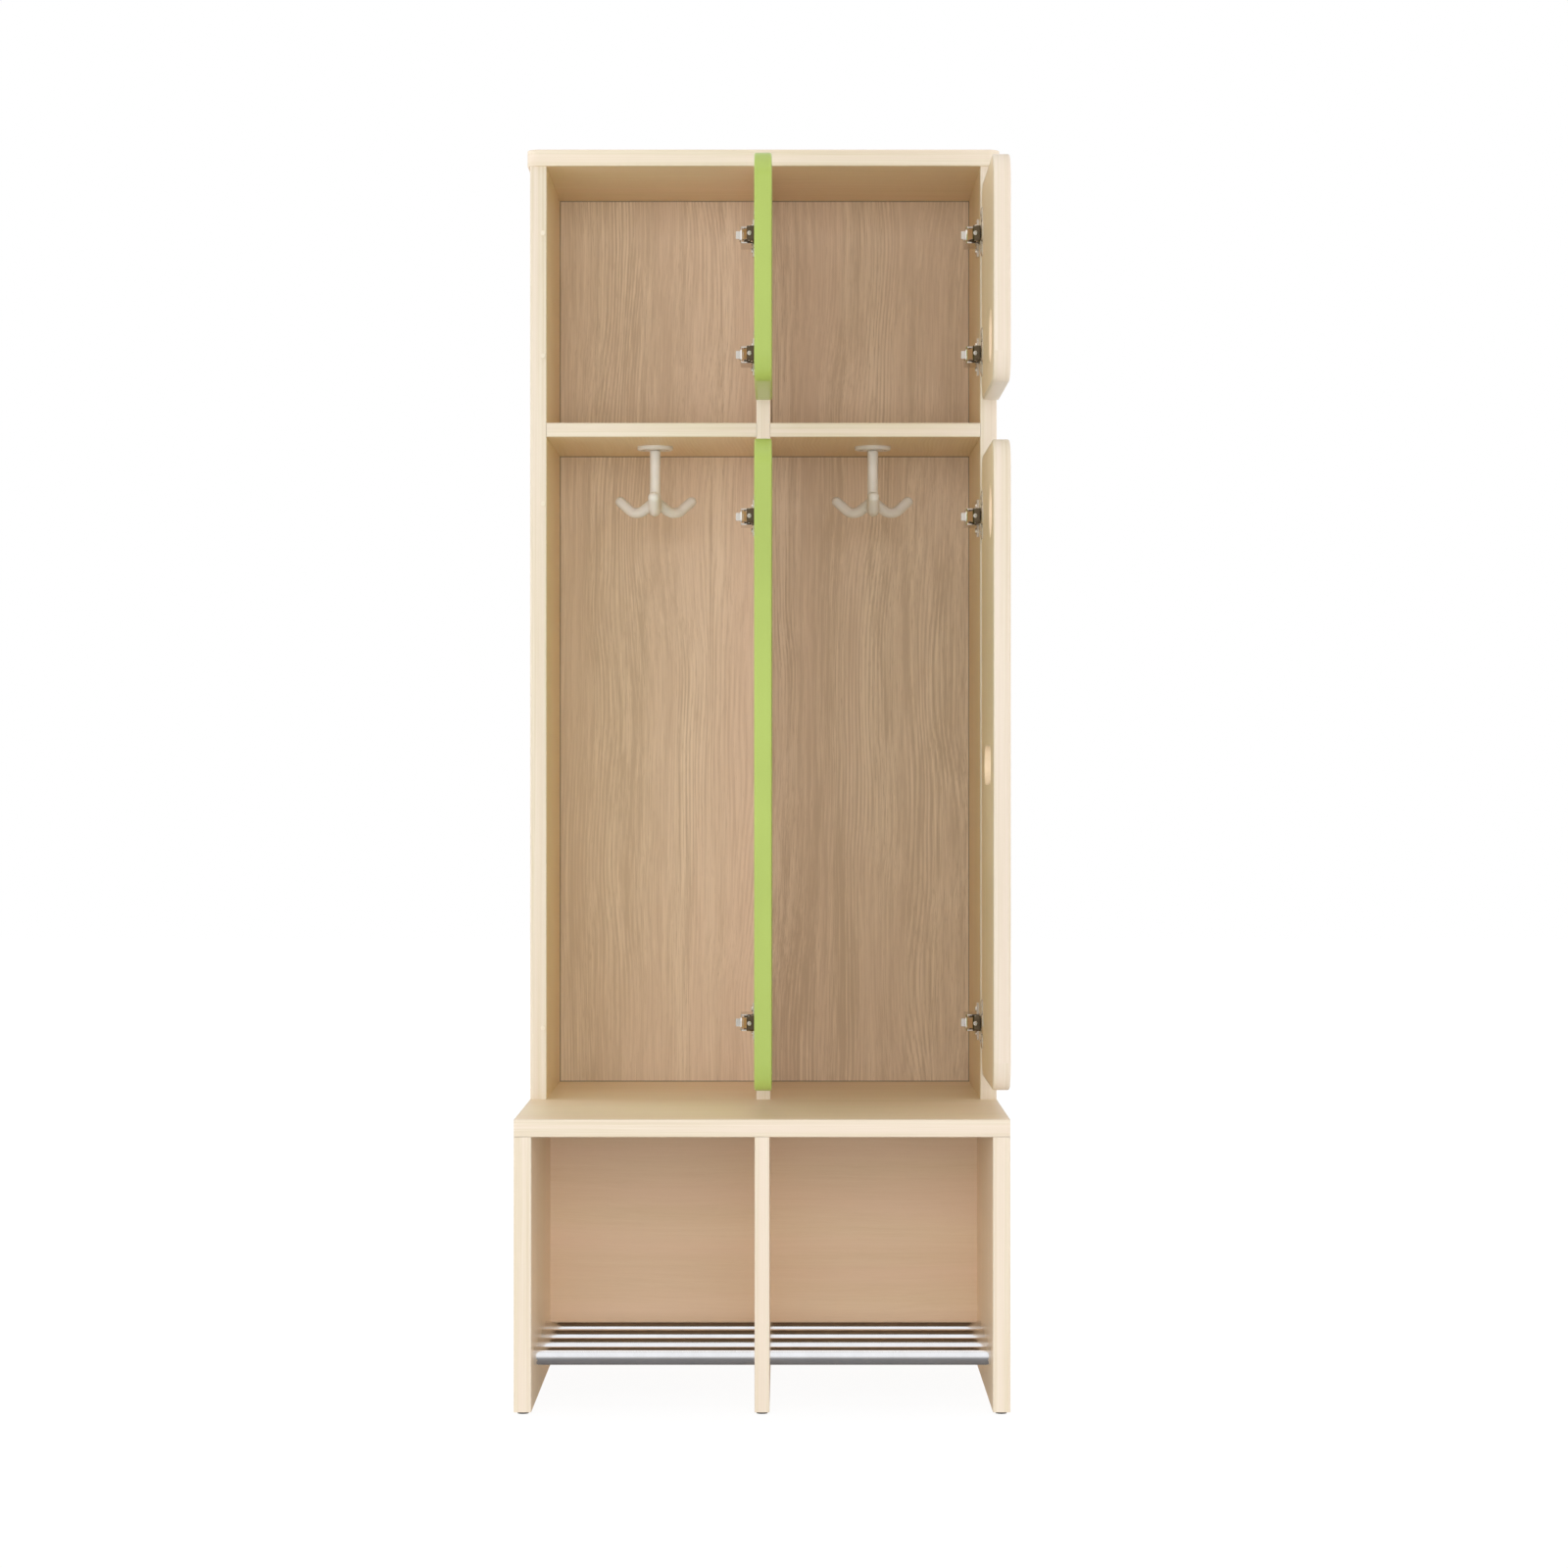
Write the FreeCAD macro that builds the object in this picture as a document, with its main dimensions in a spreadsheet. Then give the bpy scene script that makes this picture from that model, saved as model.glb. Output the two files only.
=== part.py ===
import FreeCAD, Part
import os
from math import pi
import Sketcher
from FreeCAD import Placement, Rotation, Vector

# Cloakroom unit for two users: a cabinet with four doors on a deep bench with a shoe rack
# The front plane of the cabinet is at Y = 0, the floor at Z = 0, and the doors stand open
# Each row of the table is a name, a size in millimetres and what it measures

DIMENSIONS = [
    ("body_width", 600, "width over the two outer uprights"),
    ("outer_board", 21, "thickness of uprights, top, bench board and doors"),
    ("inner_board", 18, "thickness of divider, shelves and bench partitions"),
    ("back_board", 4, "thickness of the cabinet back"),
    ("cabinet_depth", 305, "front plane to rear edge of the cabinet"),
    ("back_inset", 6.5, "cabinet back's front face to the cabinet's rear edge"),
    ("bench_reach", 305, "bench front ahead of the cabinet front"),
    ("bench_back_setting", 80, "front plane to the bench back"),
    ("bench_side_height", 332.5, "height of the bench uprights"),
    ("cabinet_side_height", 1200, "height of the cabinet uprights"),
    ("upper_clear_height", 330, "clear height of the upper compartments"),
    ("top_overhang", 4, "top panel beyond the sides and front"),
    ("top_corner_radius", 15, "plan radius of the top panel's front corners"),
    ("board_edge_radius", 1.5, "rounding of exposed board edges"),
    ("groove_depth", 6, "depth of the groove for the cabinet back"),
    ("groove_play", 0.15, "play of the cabinet back in its groove"),
    ("door_width_right", 285, "width of the doors on the right upright"),
    ("door_width_left", 296, "width of the doors on the divider"),
    ("door_gap", 26, "door to shelf and door to top, measured upright"),
    ("door_gap_bench", 32, "tall door to the bench board"),
    ("door_corner_radius", 35, "radius of the door corners"),
    ("door_edge_radius", 2.5, "rounding of the door edges"),
    ("door_open_gap", 4, "open door's hinge edge ahead of the front plane"),
    ("pull_hole_diameter", 65, "round finger hole in each door"),
    ("pull_hole_inset", 77, "centre of the finger hole from the free edge"),
    ("pull_hole_rise", 62, "centre of the finger hole above the upper door's base"),
    ("pull_hole_drop", 84, "centre of the finger hole below the tall door's top"),
    ("vent_length", 150, "length of the air slot in the tall doors"),
    ("vent_height", 48, "height of the air slot in the tall doors"),
    ("hole_edge_radius", 1.5, "rounding of the finger hole and air slot edges"),
    ("pivot_inset", 9, "hinge axis from the door's hinge edge"),
    ("pivot_depth", 10, "hinge axis from the door's inner face"),
    ("pivot_reach_right", 11.5, "hinge axis beyond the right upright's inner face"),
    ("pivot_reach_left", 9.5, "hinge axis beyond the divider's left face"),
    ("hinge_end_distance", 62, "hinge centre from the end of an upper door"),
    ("hinge_top_distance_tall", 76.5, "upper hinge centre from the top of a tall door"),
    ("hinge_base_distance_tall", 66.5, "lower hinge centre from the foot of a tall door"),
    ("cup_diameter", 35, "bore in the door for a hinge cup"),
    ("cup_inset", 21, "cup centre from the door's hinge edge"),
    ("cup_depth", 15, "depth of the cup in the door"),
    ("cup_wall", 1, "wall of the hinge cup"),
    ("cup_floor", 0.8, "floor of the hinge cup"),
    ("cup_play", 0.1, "play of the cup in its bore"),
    ("flange_height", 62, "height of the cup flange"),
    ("flange_width", 16, "width of the cup flange's wings"),
    ("flange_thickness", 0.8, "thickness of the cup flange"),
    ("flange_rim", 1, "flange beyond the cup all round"),
    ("flange_screw_spacing", 48, "distance between the two cup screws"),
    ("pivot_pin_radius", 2, "radius of the hinge pin"),
    ("pivot_pin_length", 20, "length of the hinge pin"),
    ("pivot_play", 0.08, "play of the hinge pin in the knuckle"),
    ("knuckle_radius", 3.4, "radius of the arm's knuckle on the pin"),
    ("neck_height", 10, "height of the arm's neck and knuckle"),
    ("neck_thickness", 3.5, "thickness of the arm's curved neck"),
    ("neck_straight", 13.5, "straight run of the neck beside the pin"),
    ("neck_bend", 8, "radius of the neck's bend beside the cup"),
    ("neck_rise", 5, "run of the neck from one bend to the other"),
    ("neck_turn", 6, "radius of the neck's bend in the arm"),
    ("neck_tail", 8.5, "run of the neck out through the arm"),
    ("lug_gap", 0.6, "free height between the knuckle and each cup lug"),
    ("lug_reach", 4, "cup lug beyond the pin axis"),
    ("arm_width", 15.5, "depth of the arm's channel off the plate"),
    ("arm_height", 21, "height of the arm's channel"),
    ("arm_length", 60, "length of the arm's channel"),
    ("arm_setback", 2, "arm channel behind the front plane"),
    ("arm_wall", 1.5, "wall of the arm's channel"),
    ("arm_corner_radius", 3, "rounding of the channel's front corners"),
    ("plate_thickness", 3, "mounting plate on the right upright"),
    ("plate_length", 50, "length of the mounting plate"),
    ("plate_wing_width", 14, "width of the mounting plate's wings"),
    ("plate_wing_height", 48, "height over the mounting plate's wings"),
    ("plate_screw_setback", 37, "plate screws behind the front plane"),
    ("plate_screw_spacing", 32, "distance between the two plate screws"),
    ("small_screw_radius", 2, "shank radius of the hinge and hook screws"),
    ("small_head_radius", 3.6, "head radius of the hinge and hook screws"),
    ("small_head_height", 1.8, "head height of the hinge and hook screws"),
    ("small_screw_length", 11, "shank length of the hinge and hook screws"),
    ("screw_play", 0.1, "play of each screw in its hole"),
    ("recess_width", 1, "width of the cross recess in a screw head"),
    ("recess_depth", 1, "depth of the cross recess in a screw head"),
    ("buffer_radius", 3, "radius of the door buffers"),
    ("buffer_inset", 4.5, "door buffers from the left upright's inner face"),
    ("buffer_play", 0.2, "closed door clear of its buffers"),
    ("buffer_end_distance", 60, "door buffers from the ends of each door"),
    ("tube_diameter", 22, "outer diameter of the shoe rack tubes"),
    ("tube_wall", 1.5, "wall of the shoe rack tubes"),
    ("tube_height", 63, "axis of the shoe rack tubes above the floor"),
    ("tube_setback", 57, "first tube's axis behind the bench front"),
    ("tube_pitch", 77, "distance between the tubes"),
    ("tube_seat", 10, "depth of a tube's seat in a bench side"),
    ("tube_end_play", 0.5, "tube end clear of its seat's floor"),
    ("tube_play", 0.15, "play of a tube in its hole"),
    ("glide_radius", 6.75, "radius of a floor glide"),
    ("glide_height", 3, "height of a floor glide"),
    ("glide_edge_radius", 1, "rounding of a floor glide"),
    ("glide_nail_radius", 1.4, "radius of a floor glide's nail"),
    ("glide_nail_length", 14, "length of a floor glide's nail"),
    ("glide_end_distance", 14, "floor glides from the ends of an upright"),
    ("dowel_radius", 4, "radius of the dowels"),
    ("dowel_play", 0.05, "play of the dowels in their holes"),
    ("dowel_end_play", 0.5, "dowel ends clear of the holes' floors"),
    ("dowel_in_edge", 22, "depth of a dowel hole in a board's edge"),
    ("dowel_in_face", 12, "depth of a dowel hole in an outer board's face"),
    ("dowel_in_divider", 7, "depth of a dowel hole in an inner board's face"),
    ("dowel_end_distance", 45, "dowels from the ends of an edge"),
    ("bench_dowel_shift", 30, "bench board's lower dowels beside the upper ones"),
    ("bolt_radius", 3.5, "shank radius of the bench screws"),
    ("bolt_head_radius", 5, "head radius of the bench screws"),
    ("bolt_head_height", 4, "countersink depth of the bench screws"),
    ("bolt_length", 50, "length of the bench screws"),
    ("bolt_end_distance", 100, "bench screws from the front and rear of the cabinet"),
    ("hook_setback", 147, "hook axis behind the front plane"),
    ("rosette_radius", 23.75, "radius of the hook's ceiling rosette"),
    ("rosette_height", 5, "height of the rosette"),
    ("rosette_edge_radius", 2, "rounding of the rosette"),
    ("rosette_screw_circle", 15.5, "rosette screws from the hook axis"),
    ("axle_radius", 4, "radius of the hook's axle"),
    ("axle_play", 0.08, "play of the axle in the rosette"),
    ("axle_head_radius", 6.5, "radius of the axle's head"),
    ("axle_head_height", 1.6, "height of the axle's head"),
    ("axle_head_play", 0.3, "free height of the axle's head and the hook's stem"),
    ("axle_in_stem", 16, "length of the axle inside the stem"),
    ("stem_radius", 7.2, "radius of the hook's stem"),
    ("hook_drop", 93, "shelf to the lowest point of the hook"),
    ("hub_radius", 8.6, "radius of the hook's hub"),
    ("hub_height", 20, "height of the hub over the arms' lowest axis"),
    ("hook_root_radius", 6.3, "radius of a hook arm at the hub"),
    ("hook_tip_radius", 5, "radius of a hook arm at its tip"),
    ("hook_low_reach", 28.2, "hook axis to an arm's lowest point"),
    ("hook_bend", 20, "radius of a hook arm's bend"),
    ("hook_tip_reach", 54.7, "hook axis to an arm's tip centre"),
    ("hook_tip_rise", 15.6, "arm's tip centre above its lowest axis point"),
    ("hook_root_reach", 3, "hook axis to the start of an arm's axis"),
    ("hook_root_rise", 12.5, "start of an arm's axis above its lowest point"),
]

TOLERANCE = 1e-6
FULL_TURN = 360
HOOK_ARMS = 3
TUBES = 4


class Size:
    """A length that carries its sheet expression beside its number."""

    def __init__(self, text, value):
        self.text = text
        self.value = value

    def _join(self, sign, other, value):
        right = other.text if isinstance(other, Size) else str(other)
        return Size(f"({self.text} {sign} {right})", value)

    def __add__(self, other):
        return self._join("+", other, self.value + number(other))

    def __sub__(self, other):
        return self._join("-", other, self.value - number(other))

    def __mul__(self, factor):
        return self._join("*", factor, self.value * factor)

    def __truediv__(self, factor):
        return self._join("/", factor, self.value / factor)

    def __neg__(self):
        return Size(f"(-{self.text})", -self.value)


def number(item):
    return item.value if isinstance(item, Size) else item


doc = FreeCAD.newDocument("cloakroom_unit")
sheet = doc.addObject("Spreadsheet::Sheet", "dims")
size = {}
for row, (alias, amount, meaning) in enumerate(DIMENSIONS, 1):
    sheet.set(f"A{row}", meaning)
    sheet.set(f"B{row}", str(amount))
    sheet.setAlias(f"B{row}", alias)
    size[alias] = Size("dims." + alias, amount)
doc.recompute()

NONE = Size("0", 0)
HALF_WIDTH = size["body_width"] / 2
INNER_HALF = HALF_WIDTH - size["outer_board"]
HALF_DIVIDER = size["inner_board"] / 2
BENCH_DEPTH = size["bench_reach"] + size["cabinet_depth"]
RACK_DEPTH = size["bench_reach"] + size["bench_back_setting"]
BACK_SETTING = size["cabinet_depth"] - size["back_inset"]
SEAT_UNDERSIDE = size["glide_height"] + size["bench_side_height"]
SEAT_TOP = SEAT_UNDERSIDE + size["outer_board"]
TOP_UNDERSIDE = SEAT_TOP + size["cabinet_side_height"]
SHELF_TOP = TOP_UNDERSIDE - size["upper_clear_height"]
SHELF_UNDERSIDE = SHELF_TOP - size["inner_board"]
BAY_WIDTH = INNER_HALF - HALF_DIVIDER
BAY_CENTRE = HALF_DIVIDER + BAY_WIDTH / 2
UPPER_DOOR_BASE = SHELF_TOP + size["door_gap"]
UPPER_DOOR_HEIGHT = size["upper_clear_height"] - size["door_gap"] * 2
TALL_DOOR_BASE = SEAT_TOP + size["door_gap_bench"]
TALL_DOOR_HEIGHT = SHELF_UNDERSIDE - size["door_gap"] - TALL_DOOR_BASE
PIVOT_Y = -(size["door_open_gap"] + size["pivot_inset"])
CLOSED_GAP = size["door_open_gap"] + size["pivot_inset"] - size["pivot_depth"]


def bind(item, path, length):
    item.setExpression(path, length.text)


def place(item, x, y, z, rotation=None):
    """Put an object's own origin at x, y, z, turned by the rotation."""
    if rotation is not None:
        item.Placement = Placement(Vector(0, 0, 0), rotation)
    bind(item, ".Placement.Base.x", x)
    bind(item, ".Placement.Base.y", y)
    bind(item, ".Placement.Base.z", z)


def new_body(name):
    body = doc.addObject("PartDesign::Body", name)
    body.Label = name
    return body


def origin_feature(body, role):
    found = [item for item in body.Origin.OriginFeatures if item.Role == role]
    return found[0]


def new_sketch(body, name, role, offset=NONE):
    """A sketch on one of the body's own origin planes, moved along the plane's normal."""
    sketch = body.newObject("Sketcher::SketchObject", name)
    sketch.AttachmentSupport = [(origin_feature(body, role), "")]
    sketch.MapMode = "FlatFace"
    bind(sketch, ".AttachmentOffset.Base.z", offset)
    return sketch


def fix_length(sketch, kind, places, length):
    """Add one dimension to the sketch and bind it to its size."""
    index = sketch.addConstraint(Sketcher.Constraint(kind, *places, number(length)))
    sketch.setExpression(f"Constraints[{index}]", length.text)


def fix_point(sketch, geometry, point, across, upward):
    """Hold a point at its distances from the sketch's origin."""
    for kind, length in (("DistanceX", across), ("DistanceY", upward)):
        if length is NONE:
            axis = -2 if kind == "DistanceX" else -1
            sketch.addConstraint(Sketcher.Constraint("PointOnObject", geometry, point, axis))
        elif length.value < 0:
            fix_length(sketch, kind, (geometry, point, -1, 1), -length)
        else:
            fix_length(sketch, kind, (-1, 1, geometry, point), length)


def draw_rectangle(sketch, left, low, width, height):
    """Four lines with their low left corner at left, low."""
    x0, y0 = left.value, low.value
    x1, y1 = x0 + width.value, y0 + height.value
    corners = [Vector(x0, y0, 0), Vector(x1, y0, 0), Vector(x1, y1, 0), Vector(x0, y1, 0)]
    first = sketch.GeometryCount
    for index in range(4):
        sketch.addGeometry(Part.LineSegment(corners[index], corners[(index + 1) % 4]))
    for index in range(4):
        after = first + (index + 1) % 4
        sketch.addConstraint(Sketcher.Constraint("Coincident", first + index, 2, after, 1))
    for index, kind in enumerate(("Horizontal", "Vertical", "Horizontal", "Vertical")):
        sketch.addConstraint(Sketcher.Constraint(kind, first + index))
    fix_point(sketch, first, 1, left, low)
    fix_length(sketch, "DistanceX", (first, 1, first, 2), width)
    fix_length(sketch, "DistanceY", (first + 1, 1, first + 1, 2), height)


def draw_circle(sketch, across, upward, radius):
    centre = Vector(across.value, upward.value, 0)
    index = sketch.addGeometry(Part.Circle(centre, Vector(0, 0, 1), radius.value))
    fix_length(sketch, "Radius", (index,), radius)
    fix_point(sketch, index, 3, across, upward)


def draw_slot(sketch, across, upward, length, height):
    """A level stadium: two lines joined by half circles."""
    x, y, radius = across.value, upward.value, height.value / 2
    reach = length.value / 2 - radius
    right = Part.Circle(Vector(x + reach, y, 0), Vector(0, 0, 1), radius)
    left = Part.Circle(Vector(x - reach, y, 0), Vector(0, 0, 1), radius)
    quarter = pi / 2
    sketch.addGeometry(Part.ArcOfCircle(right, -quarter, quarter))
    sketch.addGeometry(Part.ArcOfCircle(left, quarter, 3 * quarter))
    sketch.addGeometry(Part.LineSegment(Vector(x + reach, y + radius, 0), Vector(x - reach, y + radius, 0)))
    sketch.addGeometry(Part.LineSegment(Vector(x - reach, y - radius, 0), Vector(x + reach, y - radius, 0)))
    for arc, end, line, start in ((0, 2, 2, 1), (1, 1, 2, 2), (1, 2, 3, 1), (0, 1, 3, 2)):
        sketch.addConstraint(Sketcher.Constraint("Tangent", arc, end, line, start))
    sketch.addConstraint(Sketcher.Constraint("Horizontal", 2))
    fix_length(sketch, "Radius", (0,), height / 2)
    fix_point(sketch, 0, 3, across + length / 2 - height / 2, upward)
    fix_length(sketch, "DistanceX", (1, 3, 0, 3), length - height)


def pad(body, name, sketch, length, reverse=False, middle=False):
    feature = body.newObject("PartDesign::Pad", name)
    feature.Profile = sketch
    bind(feature, "Length", length)
    feature.Reversed = reverse
    feature.Midplane = middle
    return feature


def pocket(body, name, sketch, depth, forward=False, middle=False):
    """Cut against the sketch's normal, or along it if forward, and make sure it cuts."""
    doc.recompute()
    before = body.Shape.Volume
    feature = body.newObject("PartDesign::Pocket", name)
    feature.Profile = sketch
    bind(feature, "Length", depth)
    feature.Reversed = forward
    feature.Midplane = middle
    doc.recompute()
    if body.Shape.Volume > before - TOLERANCE:
        raise RuntimeError(f"{body.Label}: {name} cuts nothing")
    return feature


def round_edges(body, name, radius, chosen):
    """Fillet the edges of the body's last shape for which chosen(edge) is true."""
    doc.recompute()
    base = body.Tip
    edges = [f"Edge{i}" for i, edge in enumerate(base.Shape.Edges, 1) if chosen(edge)]
    feature = body.newObject("PartDesign::Fillet", name)
    feature.Base = (base, edges)
    bind(feature, "Radius", radius)
    return feature


def lies_on(edge, axis, place_value):
    """True if the whole edge lies in the plane where x, y or z has this value."""
    box = edge.BoundBox
    low = (box.XMin, box.YMin, box.ZMin)[axis]
    high = (box.XMax, box.YMax, box.ZMax)[axis]
    slack = 1e3 * TOLERANCE
    return abs(low - place_value) < slack and abs(high - place_value) < slack


def drill(body, name, role, offset, forward, centres, radius, depth):
    """Round holes of one size from a plane parallel to an origin plane."""
    sketch = new_sketch(body, name + "_sketch", role, offset)
    for across, upward in centres:
        draw_circle(sketch, across, upward, radius)
    pocket(body, name, sketch, depth, forward)


DOWEL_HOLE = size["dowel_radius"] + size["dowel_play"]
BACK_DOWEL_Y = BACK_SETTING - size["dowel_end_distance"]
CABINET_DOWELS_Y = (size["dowel_end_distance"], BACK_DOWEL_Y)
BOLTS_Y = (size["bolt_end_distance"], size["cabinet_depth"] - size["bolt_end_distance"])
BOLT_HOLE = size["bolt_radius"] + size["screw_play"]
BOLT_IN_EDGE = size["bolt_length"] - size["outer_board"] + size["dowel_end_play"]
SHELF_DOWEL_Z = SHELF_UNDERSIDE + size["inner_board"] / 2
SCREW_HOLE = size["small_screw_radius"] + size["screw_play"]
SCREW_BITE = size["small_screw_length"] + size["screw_play"]

DOORS = {
    "upper": (UPPER_DOOR_BASE, UPPER_DOOR_HEIGHT),
    "lower": (TALL_DOOR_BASE, TALL_DOOR_HEIGHT),
}
HINGE_DISTANCES = {
    "upper": (size["hinge_end_distance"], size["hinge_end_distance"]),
    "lower": (size["hinge_top_distance_tall"], size["hinge_base_distance_tall"]),
}
SIDES = {
    "left": (-HALF_DIVIDER, size["pivot_reach_left"], size["door_width_left"]),
    "right": (INNER_HALF, size["pivot_reach_right"], size["door_width_right"]),
}


def hinge_heights(level):
    """Heights of the upper and lower hinge of a door above the floor."""
    base, height = DOORS[level]
    from_top, from_base = HINGE_DISTANCES[level]
    return {"top": base + height - from_top, "bottom": base + from_base}


ALL_HINGE_HEIGHTS = [z for level in DOORS for z in hinge_heights(level).values()]


def plate_screw_places(base):
    """Setback and height of the plate screws, seen from an upright's foot."""
    half = size["plate_screw_spacing"] / 2
    places = []
    for z in ALL_HINGE_HEIGHTS:
        places.append((size["plate_screw_setback"], z - base - half))
        places.append((size["plate_screw_setback"], z - base + half))
    return places


def cabinet_upright(name, thickness, depth, inner_faces, carries_doors):
    """An upright of the cabinet, standing on the bench board, its outline in depth and height.

    inner_faces lists the faces that a shelf meets: "low" at x = 0, "high" at x = thickness.
    """
    body = new_body(name)
    outline = new_sketch(body, name + "_outline", "YZ_Plane")
    draw_rectangle(outline, NONE, NONE, depth, size["cabinet_side_height"])
    pad(body, name + "_board", outline, thickness)
    front = lambda edge: lies_on(edge, 1, 0) and edge.BoundBox.ZLength > TOLERANCE
    round_edges(body, name + "_front_edges", size["board_edge_radius"], front)
    in_board = size["dowel_in_divider"] if thickness is size["inner_board"] else size["dowel_in_face"]
    shelf_holes = [(y, SHELF_DOWEL_Z - SEAT_TOP) for y in CABINET_DOWELS_Y]
    edge_holes = [(thickness / 2, y) for y in CABINET_DOWELS_Y]
    bolt_holes = [(thickness / 2, y) for y in BOLTS_Y]
    for face in inner_faces:
        offset = NONE if face == "low" else thickness
        drill(body, f"{name}_shelf_holes_{face}", "YZ_Plane", offset, face == "low",
              shelf_holes, DOWEL_HOLE, in_board)
    drill(body, name + "_foot_holes", "XY_Plane", NONE, True, edge_holes, DOWEL_HOLE,
          size["dowel_in_edge"])
    drill(body, name + "_bolt_holes", "XY_Plane", NONE, True, bolt_holes, BOLT_HOLE, BOLT_IN_EDGE)
    drill(body, name + "_head_holes", "XY_Plane", size["cabinet_side_height"], False, edge_holes,
          DOWEL_HOLE, size["dowel_in_edge"])
    if carries_doors:
        drill(body, name + "_plate_holes", "YZ_Plane", NONE, True, plate_screw_places(SEAT_TOP),
              SCREW_HOLE, SCREW_BITE)
    return body


def back_groove(body, name, inner_face_at):
    """The upright groove that takes the edge of the cabinet back."""
    sketch = new_sketch(body, name + "_groove_sketch", "XY_Plane")
    left = inner_face_at if inner_face_at is NONE else inner_face_at - size["groove_depth"]
    draw_rectangle(sketch, left, BACK_SETTING, size["groove_depth"],
                   size["back_board"] + size["groove_play"])
    pocket(body, name + "_groove", sketch, size["cabinet_side_height"], True)


def make_cabinet_uprights():
    left = cabinet_upright("side_left", size["outer_board"], size["cabinet_depth"], ["high"], False)
    back_groove(left, "side_left", size["outer_board"])
    place(left, -HALF_WIDTH, NONE, SEAT_TOP)
    right = cabinet_upright("side_right", size["outer_board"], size["cabinet_depth"], ["low"], True)
    back_groove(right, "side_right", NONE)
    place(right, INNER_HALF, NONE, SEAT_TOP)
    middle = cabinet_upright("divider", size["inner_board"], BACK_SETTING,
                             ["low", "high"], True)
    place(middle, -HALF_DIVIDER, NONE, SEAT_TOP)
    return [left, right, middle]


def make_top_panel():
    """The top, with rounded front corners, a groove for the back and blind dowel holes."""
    body = new_body("top_panel")
    over = size["top_overhang"]
    outline = new_sketch(body, "top_outline", "XY_Plane")
    draw_rectangle(outline, NONE, NONE, size["body_width"] + over * 2, size["cabinet_depth"] + over)
    pad(body, "top_board", outline, size["outer_board"])
    front_corner = lambda edge: lies_on(edge, 1, 0) and edge.BoundBox.ZLength > TOLERANCE
    round_edges(body, "top_corners", size["top_corner_radius"], front_corner)
    thickness = size["outer_board"].value
    rim = lambda edge: lies_on(edge, 2, 0) or lies_on(edge, 2, thickness)
    round_edges(body, "top_rim", size["board_edge_radius"], rim)
    groove = new_sketch(body, "top_groove_sketch", "XY_Plane")
    left = over + size["outer_board"] - size["groove_depth"]
    draw_rectangle(groove, left, over + BACK_SETTING,
                   INNER_HALF * 2 + size["groove_depth"] * 2, size["back_board"] + size["groove_play"])
    pocket(body, "top_groove", groove, size["groove_depth"], True)
    lines = [over + size["outer_board"] / 2, over + HALF_WIDTH,
             over + size["body_width"] - size["outer_board"] / 2]
    holes = [(x, over + y) for x in lines for y in CABINET_DOWELS_Y]
    drill(body, "top_holes", "XY_Plane", NONE, True, holes, DOWEL_HOLE, size["dowel_in_face"])
    place(body, -(HALF_WIDTH + over), -over, TOP_UNDERSIDE)
    return [body]


def make_shelves():
    """One shelf in each bay, doweled to its uprights, with pilot holes for the rosette screws."""
    shelves = []
    for side, left in (("left", -INNER_HALF), ("right", HALF_DIVIDER)):
        name = "shelf_" + side
        body = new_body(name)
        outline = new_sketch(body, name + "_outline", "XY_Plane")
        draw_rectangle(outline, NONE, NONE, BAY_WIDTH, BACK_SETTING)
        pad(body, name + "_board", outline, size["inner_board"])
        front = lambda edge: lies_on(edge, 1, 0) and edge.BoundBox.XLength > TOLERANCE
        round_edges(body, name + "_front_edges", size["board_edge_radius"], front)
        ends = [(y, size["inner_board"] / 2) for y in CABINET_DOWELS_Y]
        drill(body, name + "_left_holes", "YZ_Plane", NONE, True, ends, DOWEL_HOLE,
              size["dowel_in_edge"])
        drill(body, name + "_right_holes", "YZ_Plane", BAY_WIDTH, False, ends, DOWEL_HOLE,
              size["dowel_in_edge"])
        middle = BAY_WIDTH / 2
        circle = size["rosette_screw_circle"]
        pilots = [(middle - circle, size["hook_setback"]), (middle + circle, size["hook_setback"])]
        drill(body, name + "_pilots", "XY_Plane", NONE, True, pilots, SCREW_HOLE, ROSETTE_BITE)
        place(body, left, NONE, SHELF_UNDERSIDE)
        shelves.append(body)
    return shelves


def make_cabinet_back():
    """The thin back, held in the grooves of the sides and the top."""
    body = new_body("cabinet_back")
    reach = size["groove_depth"] - size["groove_play"]
    outline = new_sketch(body, "back_outline", "XZ_Plane")
    draw_rectangle(outline, NONE, NONE, INNER_HALF * 2 + reach * 2,
                   size["cabinet_side_height"] + reach)
    pad(body, "back_panel", outline, size["back_board"], reverse=True)
    place(body, -(INNER_HALF + reach), BACK_SETTING, SEAT_TOP)
    return [body]


UPRIGHT_LINES = {
    "left": size["outer_board"] / 2,
    "middle": HALF_WIDTH,
    "right": size["body_width"] - size["outer_board"] / 2,
}
BENCH_DOWELS_Y = (size["dowel_end_distance"], RACK_DEPTH - size["dowel_end_distance"])
REAR_DOWEL_Y = BENCH_DEPTH - size["dowel_end_distance"]
BENCH_BACK_DOWELS_Z = (size["dowel_end_distance"], size["bench_side_height"] - size["dowel_end_distance"])
TUBES_Y = [size["tube_setback"] + size["tube_pitch"] * index for index in range(TUBES)]
TUBE_HOLE = size["tube_diameter"] / 2 + size["tube_play"]
TUBE_Z = size["tube_height"] - size["glide_height"]
NAIL_HOLE = size["glide_nail_radius"] + size["screw_play"]
SIDE_GLIDES_Y = (size["glide_end_distance"], BENCH_DEPTH - size["glide_end_distance"])
MIDDLE_GLIDES_Y = (size["glide_end_distance"], RACK_DEPTH - size["glide_end_distance"])


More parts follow.
